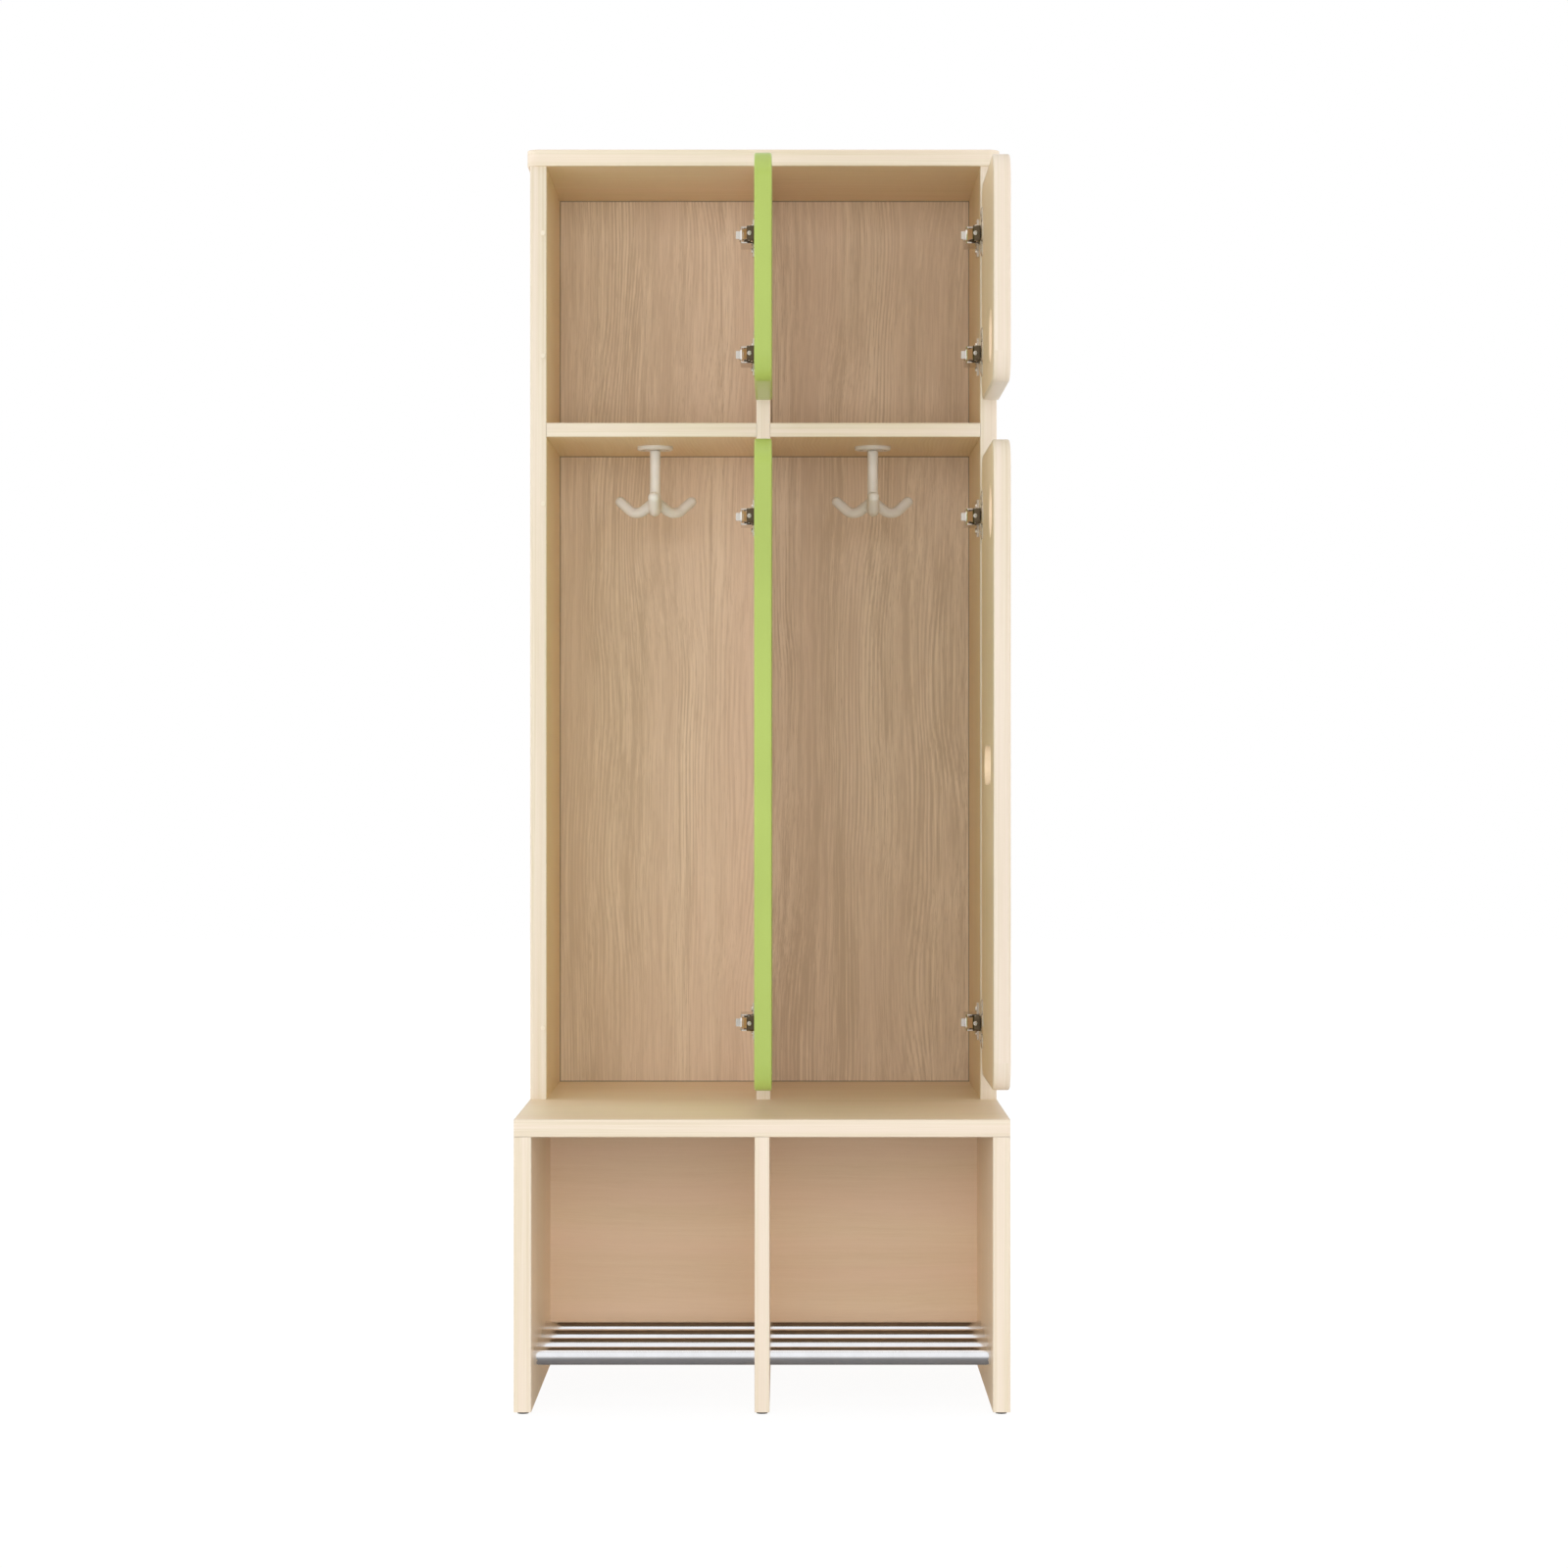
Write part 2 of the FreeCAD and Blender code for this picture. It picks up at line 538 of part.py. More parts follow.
def make_bench_board():
    """The seat: a full-depth board that the cabinet stands on."""
    body = new_body("bench_board")
    outline = new_sketch(body, "bench_outline", "XY_Plane")
    draw_rectangle(outline, NONE, NONE, size["body_width"], BENCH_DEPTH)
    pad(body, "bench_plank", outline, size["outer_board"])
    front = lambda edge: lies_on(edge, 1, 0) and edge.BoundBox.XLength > TOLERANCE
    round_edges(body, "bench_front_edges", size["board_edge_radius"], front)
    upper = [(x, size["bench_reach"] + y) for x in UPRIGHT_LINES.values() for y in CABINET_DOWELS_Y]
    drill(body, "bench_upper_holes", "XY_Plane", size["outer_board"], False, upper, DOWEL_HOLE,
          size["dowel_in_face"])
    lower = [(x, y + size["bench_dowel_shift"]) for x in UPRIGHT_LINES.values() for y in BENCH_DOWELS_Y]
    drill(body, "bench_lower_holes", "XY_Plane", NONE, True, lower, DOWEL_HOLE, size["dowel_in_face"])
    bolts = [(x, size["bench_reach"] + y) for x in UPRIGHT_LINES.values() for y in BOLTS_Y]
    drill(body, "bench_bolt_holes", "XY_Plane", NONE, True, bolts, BOLT_HOLE, size["outer_board"])
    drill(body, "bench_bolt_heads", "XY_Plane", NONE, True, bolts,
          size["bolt_head_radius"] + size["screw_play"], size["bolt_head_height"])
    place(body, -HALF_WIDTH, -size["bench_reach"], SEAT_UNDERSIDE)
    return [body]


def bench_upright(name, thickness, depth, glides_y):
    """An upright under the bench board, with dowel holes on top and nail holes below."""
    body = new_body(name)
    outline = new_sketch(body, name + "_outline", "YZ_Plane")
    draw_rectangle(outline, NONE, NONE, depth, size["bench_side_height"])
    pad(body, name + "_board", outline, thickness)
    front = lambda edge: lies_on(edge, 1, 0) and edge.BoundBox.ZLength > TOLERANCE
    round_edges(body, name + "_front_edges", size["board_edge_radius"], front)
    heads = [(thickness / 2, y + size["bench_dowel_shift"]) for y in BENCH_DOWELS_Y]
    drill(body, name + "_head_holes", "XY_Plane", size["bench_side_height"], False, heads,
          DOWEL_HOLE, size["dowel_in_edge"])
    nails = [(thickness / 2, y) for y in glides_y]
    drill(body, name + "_nail_holes", "XY_Plane", NONE, True, nails, NAIL_HOLE,
          size["glide_nail_length"] + size["dowel_end_play"])
    return body


def make_bench_uprights():
    uprights = []
    tubes = [(y, TUBE_Z) for y in TUBES_Y]
    backs = [(RACK_DEPTH + size["inner_board"] / 2, z) for z in BENCH_BACK_DOWELS_Z]
    for side, left, offset in (("left", -HALF_WIDTH, size["outer_board"]), ("right", INNER_HALF, NONE)):
        name = "bench_side_" + side
        body = bench_upright(name, size["outer_board"], BENCH_DEPTH, SIDE_GLIDES_Y)
        inward = side == "right"
        drill(body, name + "_tube_seats", "YZ_Plane", offset, inward, tubes, TUBE_HOLE,
              size["tube_seat"])
        drill(body, name + "_back_holes", "YZ_Plane", offset, inward, backs, DOWEL_HOLE,
              size["dowel_in_face"])
        place(body, left, -size["bench_reach"], size["glide_height"])
        uprights.append(body)
    middle = bench_upright("bench_divider", size["inner_board"], RACK_DEPTH,
                           MIDDLE_GLIDES_Y)
    drill(middle, "bench_divider_tube_holes", "YZ_Plane", NONE, True, tubes, TUBE_HOLE,
          size["inner_board"])
    ends = [(size["inner_board"] / 2, z) for z in BENCH_BACK_DOWELS_Z]
    drill(middle, "bench_divider_back_holes", "XZ_Plane", -RACK_DEPTH, True, ends,
          DOWEL_HOLE, size["dowel_in_edge"])
    place(middle, -HALF_DIVIDER, -size["bench_reach"], size["glide_height"])
    return uprights + [middle]


def make_bench_back():
    """The rear wall of the shoe bays, between the bench sides."""
    body = new_body("bench_back")
    outline = new_sketch(body, "bench_back_outline", "XZ_Plane")
    draw_rectangle(outline, NONE, NONE, INNER_HALF * 2, size["bench_side_height"])
    pad(body, "bench_back_board", outline, size["inner_board"], reverse=True)
    middle = [(INNER_HALF, z) for z in BENCH_BACK_DOWELS_Z]
    drill(body, "bench_back_middle_holes", "XZ_Plane", NONE, False, middle, DOWEL_HOLE,
          size["dowel_in_divider"])
    ends = [(size["inner_board"] / 2, z) for z in BENCH_BACK_DOWELS_Z]
    drill(body, "bench_back_left_holes", "YZ_Plane", NONE, True, ends, DOWEL_HOLE,
          size["dowel_in_edge"])
    drill(body, "bench_back_right_holes", "YZ_Plane", INNER_HALF * 2, False, ends, DOWEL_HOLE,
          size["dowel_in_edge"])
    place(body, -INNER_HALF, RACK_DEPTH - size["bench_reach"], size["glide_height"])
    return [body]


def make_shoe_tubes():
    """Four tubes across both shoe bays, through the bench divider, seated in the bench sides."""
    tubes = []
    reach = INNER_HALF + size["tube_seat"] - size["tube_end_play"]
    for index, y in enumerate(TUBES_Y, 1):
        name = f"shoe_tube_{index}"
        body = new_body(name)
        ring = new_sketch(body, name + "_ring", "YZ_Plane")
        draw_circle(ring, NONE, NONE, size["tube_diameter"] / 2)
        draw_circle(ring, NONE, NONE, size["tube_diameter"] / 2 - size["tube_wall"])
        pad(body, name + "_run", ring, reach * 2, middle=True)
        place(body, NONE, y - size["bench_reach"], size["tube_height"])
        tubes.append(body)
    return tubes


def cylinder(name, radius, height, x=NONE, y=NONE, z=NONE, rotation=None):
    item = doc.addObject("Part::Cylinder", name)
    bind(item, "Radius", radius)
    bind(item, "Height", height)
    place(item, x, y, z, rotation)
    return item


def box(name, length, width, height, x=NONE, y=NONE, z=NONE):
    item = doc.addObject("Part::Box", name)
    bind(item, "Length", length)
    bind(item, "Width", width)
    bind(item, "Height", height)
    place(item, x, y, z)
    return item


def fuse(name, items):
    item = doc.addObject("Part::MultiFuse", name)
    item.Shapes = items
    return item


def cut(name, base, tool):
    item = doc.addObject("Part::Cut", name)
    item.Base = base
    item.Tool = tool
    return item


def common(name, base, tool):
    item = doc.addObject("Part::Common", name)
    item.Base = base
    item.Tool = tool
    return item


def group(name, items):
    """Like pieces that share one node, each its own solid."""
    item = doc.addObject("Part::Compound", name)
    item.Links = items
    item.Label = name
    return item


ALONG_X = Rotation(Vector(0, 1, 0), 90)
AGAINST_X = Rotation(Vector(0, 1, 0), -90)
ALONG_Y = Rotation(Vector(1, 0, 0), -90)
UPWARD = Rotation(Vector(1, 0, 0), 0)
PIVOT_X = {side: face + reach for side, (face, reach, _) in SIDES.items()}
HINGE_PLACES = {
    f"{level}_{side}_{end}": (PIVOT_X[side], z)
    for level in DOORS for side in SIDES for end, z in hinge_heights(level).items()
}
CUP_Y = PIVOT_Y + size["pivot_inset"] - size["cup_inset"]


def make_doors():
    """The four doors, standing open at a right angle, with finger holes and air slots."""
    doors = []
    for side, (face, reach, width) in SIDES.items():
        for level, (base, height) in DOORS.items():
            name = f"door_{level}_{side}"
            body = new_body(name)
            outline = new_sketch(body, name + "_outline", "YZ_Plane")
            draw_rectangle(outline, NONE, NONE, width, height)
            pad(body, name + "_board", outline, size["outer_board"])
            corner = lambda edge: edge.BoundBox.XLength > TOLERANCE
            round_edges(body, name + "_corners", size["door_corner_radius"], corner)
            thickness = size["outer_board"].value
            rim = lambda edge: lies_on(edge, 0, 0) or lies_on(edge, 0, thickness)
            round_edges(body, name + "_rim", size["door_edge_radius"], rim)
            openings = new_sketch(body, name + "_openings", "YZ_Plane")
            if level == "lower":
                draw_slot(openings, width / 2, height / 2, size["vent_length"], size["vent_height"])
                pull = height - size["pull_hole_drop"]
            else:
                pull = size["pull_hole_rise"]
            draw_circle(openings, size["pull_hole_inset"], pull, size["pull_hole_diameter"] / 2)
            pocket(body, name + "_cut_outs", openings, size["outer_board"], True)
            margin = size["door_corner_radius"].value
            inside = lambda edge: (rim(edge) and edge.BoundBox.YMin > margin
                                   and edge.BoundBox.YMax < width.value - margin
                                   and edge.BoundBox.ZMin > TOLERANCE + size["door_edge_radius"].value
                                   and edge.BoundBox.ZMax < height.value - size["door_edge_radius"].value)
            round_edges(body, name + "_hole_edges", size["hole_edge_radius"], inside)
            add_cup_bores(body, name, level, width)
            place(body, PIVOT_X[side] - size["pivot_depth"], -(size["door_open_gap"] + width), base)
            doors.append(body)
    return doors


def add_cup_bores(body, name, level, width):
    """Bores for the two hinge cups, and pilot holes for the cup screws."""
    base = DOORS[level][0]
    across = width - size["cup_inset"]
    cups = [(across, z - base) for z in hinge_heights(level).values()]
    drill(body, name + "_cup_bores", "YZ_Plane", NONE, True, cups,
          size["cup_diameter"] / 2, size["cup_depth"] + size["cup_play"])
    half = size["flange_screw_spacing"] / 2
    pilots = [(across, z + shift) for _, z in cups for shift in (half, -half)]
    drill(body, name + "_cup_pilots", "YZ_Plane", NONE, True, pilots, SCREW_HOLE, CUP_SCREW_BITE)


CUP_SCREW_BITE = SCREW_BITE - size["flange_thickness"]
ROSETTE_BITE = SCREW_BITE + size["small_head_height"] - size["rosette_height"]


def make_hinge_cup(name, x, z):
    """A cup with its flange, and two lugs inside that hold the hinge pin."""
    outer = size["cup_diameter"] / 2 - size["cup_play"]
    inner = outer - size["cup_wall"]
    face = x - size["pivot_depth"]
    skin = size["flange_thickness"]
    shell = cylinder(name + "_shell", outer, size["cup_depth"], face, CUP_Y, z, ALONG_X)
    rim = cylinder(name + "_rim", outer + size["flange_rim"], skin, face - skin, CUP_Y, z, ALONG_X)
    wings = box(name + "_wings", skin, size["flange_width"], size["flange_height"],
                face - skin, CUP_Y - size["flange_width"] / 2, z - size["flange_height"] / 2)
    solid = fuse(name + "_solid", [shell, rim, wings])
    hollow = cylinder(name + "_hollow", inner, size["cup_depth"] - size["cup_floor"] + skin,
                      face - skin, CUP_Y, z, ALONG_X)
    open_cup = cut(name + "_open", solid, hollow)
    lug_depth = size["pivot_depth"] - size["lug_reach"]
    block = box(name + "_lug_block", size["cup_depth"] - lug_depth - size["cup_floor"] / 2,
                outer, outer * 2, face + lug_depth, PIVOT_Y - size["lug_reach"], z - outer)
    slot_height = size["neck_height"] + size["lug_gap"] * 2
    slot = box(name + "_lug_slot", size["cup_depth"] * 2, outer * 2, slot_height,
               face, PIVOT_Y - outer, z - slot_height / 2)
    lugs = cut(name + "_lug_pair", block, slot)
    core = cylinder(name + "_lug_core", outer, size["cup_depth"], face, CUP_Y, z, ALONG_X)
    trimmed = common(name + "_lugs", lugs, core)
    whole = fuse(name + "_whole", [open_cup, trimmed])
    bore = cylinder(name + "_bore", size["pivot_pin_radius"], size["pivot_pin_length"],
                    x, PIVOT_Y, z - size["pivot_pin_length"] / 2)
    half = size["flange_screw_spacing"] / 2
    holes = [cylinder(f"{name}_screw_hole_{index}", SCREW_HOLE, skin * 2, face - skin * 1.5, CUP_Y,
                      z + shift, ALONG_X) for index, shift in enumerate((half, -half))]
    cup = cut(name, whole, fuse(name + "_holes", [bore] + holes))
    cup.Label = name
    return cup


def make_hinge_arm(name, x, z):
    """The fixed arm: a channel on the plate, with a curved neck that reaches into the cup.

    In plan the neck's middle line runs straight away from the pin, bends by a quarter circle to
    run along the cabinet's depth, and bends by another quarter circle to leave the channel.
    """
    body = new_body(name)
    start = size["arm_setback"] - PIVOT_Y
    base = size["pivot_reach_right"] + size["plate_thickness"]
    outline = new_sketch(body, name + "_channel_outline", "XY_Plane")
    draw_rectangle(outline, -(base + size["arm_width"]), start, size["arm_width"], size["arm_length"])
    pad(body, name + "_channel", outline, size["arm_height"], middle=True)
    front = lambda edge: lies_on(edge, 1, start.value) and lies_on(edge, 0, -(base + size["arm_width"]).value)
    round_edges(body, name + "_channel_front", size["arm_corner_radius"], front)
    inside = new_sketch(body, name + "_channel_inside", "XY_Plane")
    draw_rectangle(inside, -(base + size["arm_width"] - size["arm_wall"]), start,
                   size["arm_width"] - size["arm_wall"], size["arm_length"])
    pocket(body, name + "_channel_hollow", inside, size["arm_height"] - size["arm_wall"] * 2, middle=True)
    neck = new_sketch(body, name + "_neck_outline", "XY_Plane")
    draw_neck(neck)
    pad(body, name + "_neck", neck, size["neck_height"], middle=True)
    knuckle = new_sketch(body, name + "_knuckle_outline", "XY_Plane")
    draw_circle(knuckle, NONE, NONE, size["knuckle_radius"])
    pad(body, name + "_knuckle", knuckle, size["neck_height"], middle=True)
    bore = new_sketch(body, name + "_bore_outline", "XY_Plane")
    draw_circle(bore, NONE, NONE, size["pivot_pin_radius"] + size["pivot_play"])
    pocket(body, name + "_bore", bore, size["neck_height"], middle=True)
    screw = new_sketch(body, name + "_screw_outline", "YZ_Plane", -(base + size["arm_width"]))
    draw_circle(screw, size["plate_screw_setback"] - PIVOT_Y, NONE, SCREW_HOLE)
    pocket(body, name + "_screw_hole", screw, size["arm_wall"] * 2, True)
    place(body, x, PIVOT_Y, z)
    return body


def draw_neck(sketch):
    """Outline of the neck: two parallel runs of line, quarter arc, line, quarter arc, line."""
    half = size["neck_thickness"].value / 2
    run, rise = size["neck_straight"].value, size["neck_rise"].value
    bend, turn, tail = size["neck_bend"].value, size["neck_turn"].value, size["neck_tail"].value
    quarter = pi / 2
    first_centre = Vector(-run, bend, 0)
    second_centre = Vector(-(run + bend + turn), bend + rise, 0)
    count = 0
    for side in (1, -1):
        low = side * half
        inner = bend - low
        outer = turn + low
        left = -(run + inner + low)
        sketch.addGeometry(Part.LineSegment(Vector(0, low, 0), Vector(-run, low, 0)))
        circle = Part.Circle(first_centre, Vector(0, 0, 1), inner)
        sketch.addGeometry(Part.ArcOfCircle(circle, 2 * quarter, 3 * quarter))
        foot = Vector(first_centre.x - inner, first_centre.y, 0)
        knee = Vector(second_centre.x + outer, second_centre.y, 0)
        sketch.addGeometry(Part.LineSegment(foot, knee))
        circle = Part.Circle(second_centre, Vector(0, 0, 1), outer)
        sketch.addGeometry(Part.ArcOfCircle(circle, 0, quarter))
        top = Vector(second_centre.x, second_centre.y + outer, 0)
        sketch.addGeometry(Part.LineSegment(top, Vector(top.x - tail, top.y, 0)))
        count += 5
    sketch.addGeometry(Part.LineSegment(Vector(0, half, 0), Vector(0, -half, 0)))
    end = Vector(second_centre.x - tail, second_centre.y + turn, 0)
    sketch.addGeometry(Part.LineSegment(end + Vector(0, half, 0), end - Vector(0, half, 0)))
    constrain_neck(sketch)


def constrain_neck(sketch):
    for first in (0, 5):
        sketch.addConstraint(Sketcher.Constraint("Tangent", first, 2, first + 1, 2))
        sketch.addConstraint(Sketcher.Constraint("Tangent", first + 1, 1, first + 2, 1))
        sketch.addConstraint(Sketcher.Constraint("Tangent", first + 2, 2, first + 3, 1))
        sketch.addConstraint(Sketcher.Constraint("Tangent", first + 3, 2, first + 4, 1))
        sketch.addConstraint(Sketcher.Constraint("Horizontal", first))
        sketch.addConstraint(Sketcher.Constraint("Vertical", first + 2))
        sketch.addConstraint(Sketcher.Constraint("Horizontal", first + 4))
    sketch.addConstraint(Sketcher.Constraint("Coincident", 0, 1, 10, 1))
    sketch.addConstraint(Sketcher.Constraint("Coincident", 5, 1, 10, 2))
    sketch.addConstraint(Sketcher.Constraint("Coincident", 4, 2, 11, 1))
    sketch.addConstraint(Sketcher.Constraint("Coincident", 9, 2, 11, 2))
    sketch.addConstraint(Sketcher.Constraint("Coincident", 1, 3, 6, 3))
    sketch.addConstraint(Sketcher.Constraint("Coincident", 3, 3, 8, 3))
    sketch.addConstraint(Sketcher.Constraint("Vertical", 10))
    sketch.addConstraint(Sketcher.Constraint("Vertical", 11))
    sketch.addConstraint(Sketcher.Constraint("PointOnObject", 0, 1, -2))
    half = size["neck_thickness"] / 2
    fix_length(sketch, "DistanceY", (-1, 1, 0, 1), half)
    fix_length(sketch, "DistanceY", (5, 1, -1, 1), half)
    fix_length(sketch, "DistanceX", (0, 2, 0, 1), size["neck_straight"])
    fix_length(sketch, "DistanceX", (4, 2, 4, 1), size["neck_tail"])
    fix_length(sketch, "DistanceY", (2, 1, 2, 2), size["neck_rise"])
    fix_length(sketch, "Radius", (1,), size["neck_bend"] - half)
    fix_length(sketch, "Radius", (3,), size["neck_turn"] + half)


def make_screw(name, x, y, z, rotation):
    """A round-headed screw with a cross recess; its shank runs along +Z from the head's seat."""
    head = cylinder(name + "_head", size["small_head_radius"], size["small_head_height"],
                    z=-size["small_head_height"])
    shank = cylinder(name + "_shank", size["small_screw_radius"], size["small_screw_length"])
    solid = fuse(name + "_solid", [head, shank])
    arm, width = size["small_head_radius"], size["recess_width"]
    low = -size["small_head_height"] * 2 + size["recess_depth"]
    bar = box(name + "_bar", arm, width, size["small_head_height"], -(arm / 2), -(width / 2), low)
    beam = box(name + "_beam", width, arm, size["small_head_height"], -(width / 2), -(arm / 2), low)
    screw = cut(name, solid, fuse(name + "_recess", [bar, beam]))
    place(screw, x, y, z, rotation)
    return screw


def plate_depth(side):
    """Thickness of the mounting plate that puts the arm at one distance from the pivot."""
    extra = size["pivot_reach_right"] - size["pivot_reach_left"]
    return size["plate_thickness"] + extra if side == "left" else size["plate_thickness"]


def make_mounting_plate(name, side, x, z):
    """A cross-shaped plate between the arm and the upright."""
    depth = plate_depth(side)
    left = x - size["pivot_reach_right"] - size["plate_thickness"]
    rear = size["arm_setback"] + size["arm_length"]
    rail = box(name + "_rail", depth, size["plate_length"], size["arm_height"],
               left, rear - size["plate_length"], z - size["arm_height"] / 2)
    wing = box(name + "_wing", depth, size["plate_wing_width"], size["plate_wing_height"],
               left, size["plate_screw_setback"] - size["plate_wing_width"] / 2,
               z - size["plate_wing_height"] / 2)
    half = size["plate_screw_spacing"] / 2
    holes = [cylinder(f"{name}_hole_{index}", SCREW_HOLE, depth * 2, left - depth / 2,
                      size["plate_screw_setback"], z + shift, ALONG_X)
             for index, shift in enumerate((half, -half))]
    holes.append(cylinder(name + "_arm_hole", SCREW_HOLE, depth * 2, left - depth / 2,
                          size["plate_screw_setback"], z, ALONG_X))
    return cut(name, fuse(name + "_cross", [rail, wing]), fuse(name + "_holes", holes))


def make_hinges():
    """Two hinges on each door: cup, pin and screws on the door, arm and plate on the upright."""
    cups, arms, plates, plate_screws, arm_screws = [], [], [], [], []
    pins = {}
    cup_screws = {}
    arm_base = size["pivot_reach_right"] + size["plate_thickness"]
    for place_name, (x, z) in HINGE_PLACES.items():
        level, side, _ = place_name.split("_")
        door = f"{level}_{side}"
        cups.append(make_hinge_cup("hinge_cup_" + place_name, x, z))
        arms.append(make_hinge_arm("hinge_arm_" + place_name, x, z))
        plates.append(make_mounting_plate("plate_" + place_name, side, x, z))
        pins.setdefault(door, []).append(
            cylinder("pin_" + place_name, size["pivot_pin_radius"], size["pivot_pin_length"],
                     x, PIVOT_Y, z - size["pivot_pin_length"] / 2))
        half = size["plate_screw_spacing"] / 2
        seat = x - arm_base
        for index, shift in enumerate((half, -half)):
            plate_screws.append(make_screw(f"plate_screw_{place_name}_{index}", seat,
                                           size["plate_screw_setback"], z + shift, ALONG_X))
        arm_screws.append(make_screw("arm_screw_" + place_name, seat - size["arm_width"],
                                     size["plate_screw_setback"], z, ALONG_X))
        half = size["flange_screw_spacing"] / 2
        face = x - size["pivot_depth"] - size["flange_thickness"]
        for index, shift in enumerate((half, -half)):
            cup_screws.setdefault(door, []).append(
                make_screw(f"cup_screw_{place_name}_{index}", face, CUP_Y, z + shift, ALONG_X))
    nodes = cups + arms
    nodes.append(group("hinge_plates", plates))
    nodes.append(group("hinge_plate_screws", plate_screws))
    nodes.append(group("hinge_arm_screws", arm_screws))
    nodes += [group("hinge_pins_" + door, items) for door, items in pins.items()]
    nodes += [group("cup_screws_" + door, items) for door, items in cup_screws.items()]
    return nodes


def make_hook(side, x):
    """A swivelling ceiling hook: rosette on the shelf, axle, and a stem with three arms."""
    ceiling = SHELF_UNDERSIDE
    y = size["hook_setback"]
    rosette = new_body("hook_rosette_" + side)
    profile = new_sketch(rosette, "rosette_profile_" + side, "XZ_Plane")
    draw_rectangle(profile, size["axle_radius"] + size["axle_play"], NONE,
                   size["rosette_radius"] - size["axle_radius"] - size["axle_play"],
                   size["rosette_height"])
    turn = rosette.newObject("PartDesign::Revolution", "rosette_turned_" + side)
    turn.Profile = profile
    turn.ReferenceAxis = (origin_feature(rosette, "Z_Axis"), [""])
    outer = size["rosette_radius"].value
    lower = lambda edge: lies_on(edge, 2, 0) and edge.BoundBox.XMax > outer - TOLERANCE * 10
    round_edges(rosette, "rosette_rim_" + side, size["rosette_edge_radius"], lower)
    pocket_depth = size["axle_head_height"] + size["axle_head_play"]
    drill(rosette, "rosette_head_room_" + side, "XY_Plane", size["rosette_height"], False,
          [(NONE, NONE)], size["axle_head_radius"] + size["axle_head_play"], pocket_depth)
    circle = size["rosette_screw_circle"]
    drill(rosette, "rosette_screw_holes_" + side, "XY_Plane", NONE, True,
          [(circle, NONE), (-circle, NONE)], SCREW_HOLE, size["rosette_height"])
    drill(rosette, "rosette_screw_seats_" + side, "XY_Plane", NONE, True,
          [(circle, NONE), (-circle, NONE)], size["small_head_radius"] + size["screw_play"],
          size["small_head_height"])
    base = ceiling - size["rosette_height"]
    place(rosette, x, y, base)

    head_top = ceiling - size["axle_head_play"] / 2
    axle_foot = base - size["axle_head_play"] - size["axle_in_stem"]
    rod = cylinder("axle_rod_" + side, size["axle_radius"], head_top - axle_foot, x, y, axle_foot)
    head = cylinder("axle_top_" + side, size["axle_head_radius"], size["axle_head_height"],
                    x, y, head_top - size["axle_head_height"])
    axle = fuse("hook_axle_" + side, [rod, head])
    axle.Label = "hook_axle_" + side

    screws = [make_screw(f"rosette_screw_{side}_{index}", x + shift, y,
                         base + size["small_head_height"], UPWARD)
              for index, shift in enumerate((circle, -circle))]
    return [rosette, axle, make_hook_body(side, x, y, base)], screws


def make_hook_body(side, x, y, base):
    """Stem, hub and three arms. An arm's axis runs down, round a bend and up to its tip."""
    body = new_body("hook_" + side)
    low = size["hook_drop"] - size["hook_root_radius"] - size["rosette_height"] - size["axle_head_play"]
    stem = new_sketch(body, "stem_profile_" + side, "XZ_Plane")
    draw_rectangle(stem, NONE, size["hub_height"], size["stem_radius"], low - size["hub_height"])
    turned = body.newObject("PartDesign::Revolution", "stem_turned_" + side)
    turned.Profile = stem
    turned.ReferenceAxis = (origin_feature(body, "Z_Axis"), [""])
    hub = new_sketch(body, "hub_profile_" + side, "XZ_Plane")
    draw_hub(hub)
    hub_turned = body.newObject("PartDesign::Revolution", "hub_turned_" + side)
    hub_turned.Profile = hub
    hub_turned.ReferenceAxis = (origin_feature(body, "Z_Axis"), [""])
    for index in range(HOOK_ARMS):
        add_hook_arm(body, f"{side}_{index}", Rotation(Vector(0, 1, 0), FULL_TURN * index / HOOK_ARMS))
    drill(body, "stem_axle_seat_" + side, "XY_Plane", low, False, [(NONE, NONE)],
          size["axle_radius"], size["axle_in_stem"])
    place(body, x, y, base - size["axle_head_play"] - low, Rotation(Vector(0, 0, 1), -FULL_TURN / 4))
    return body


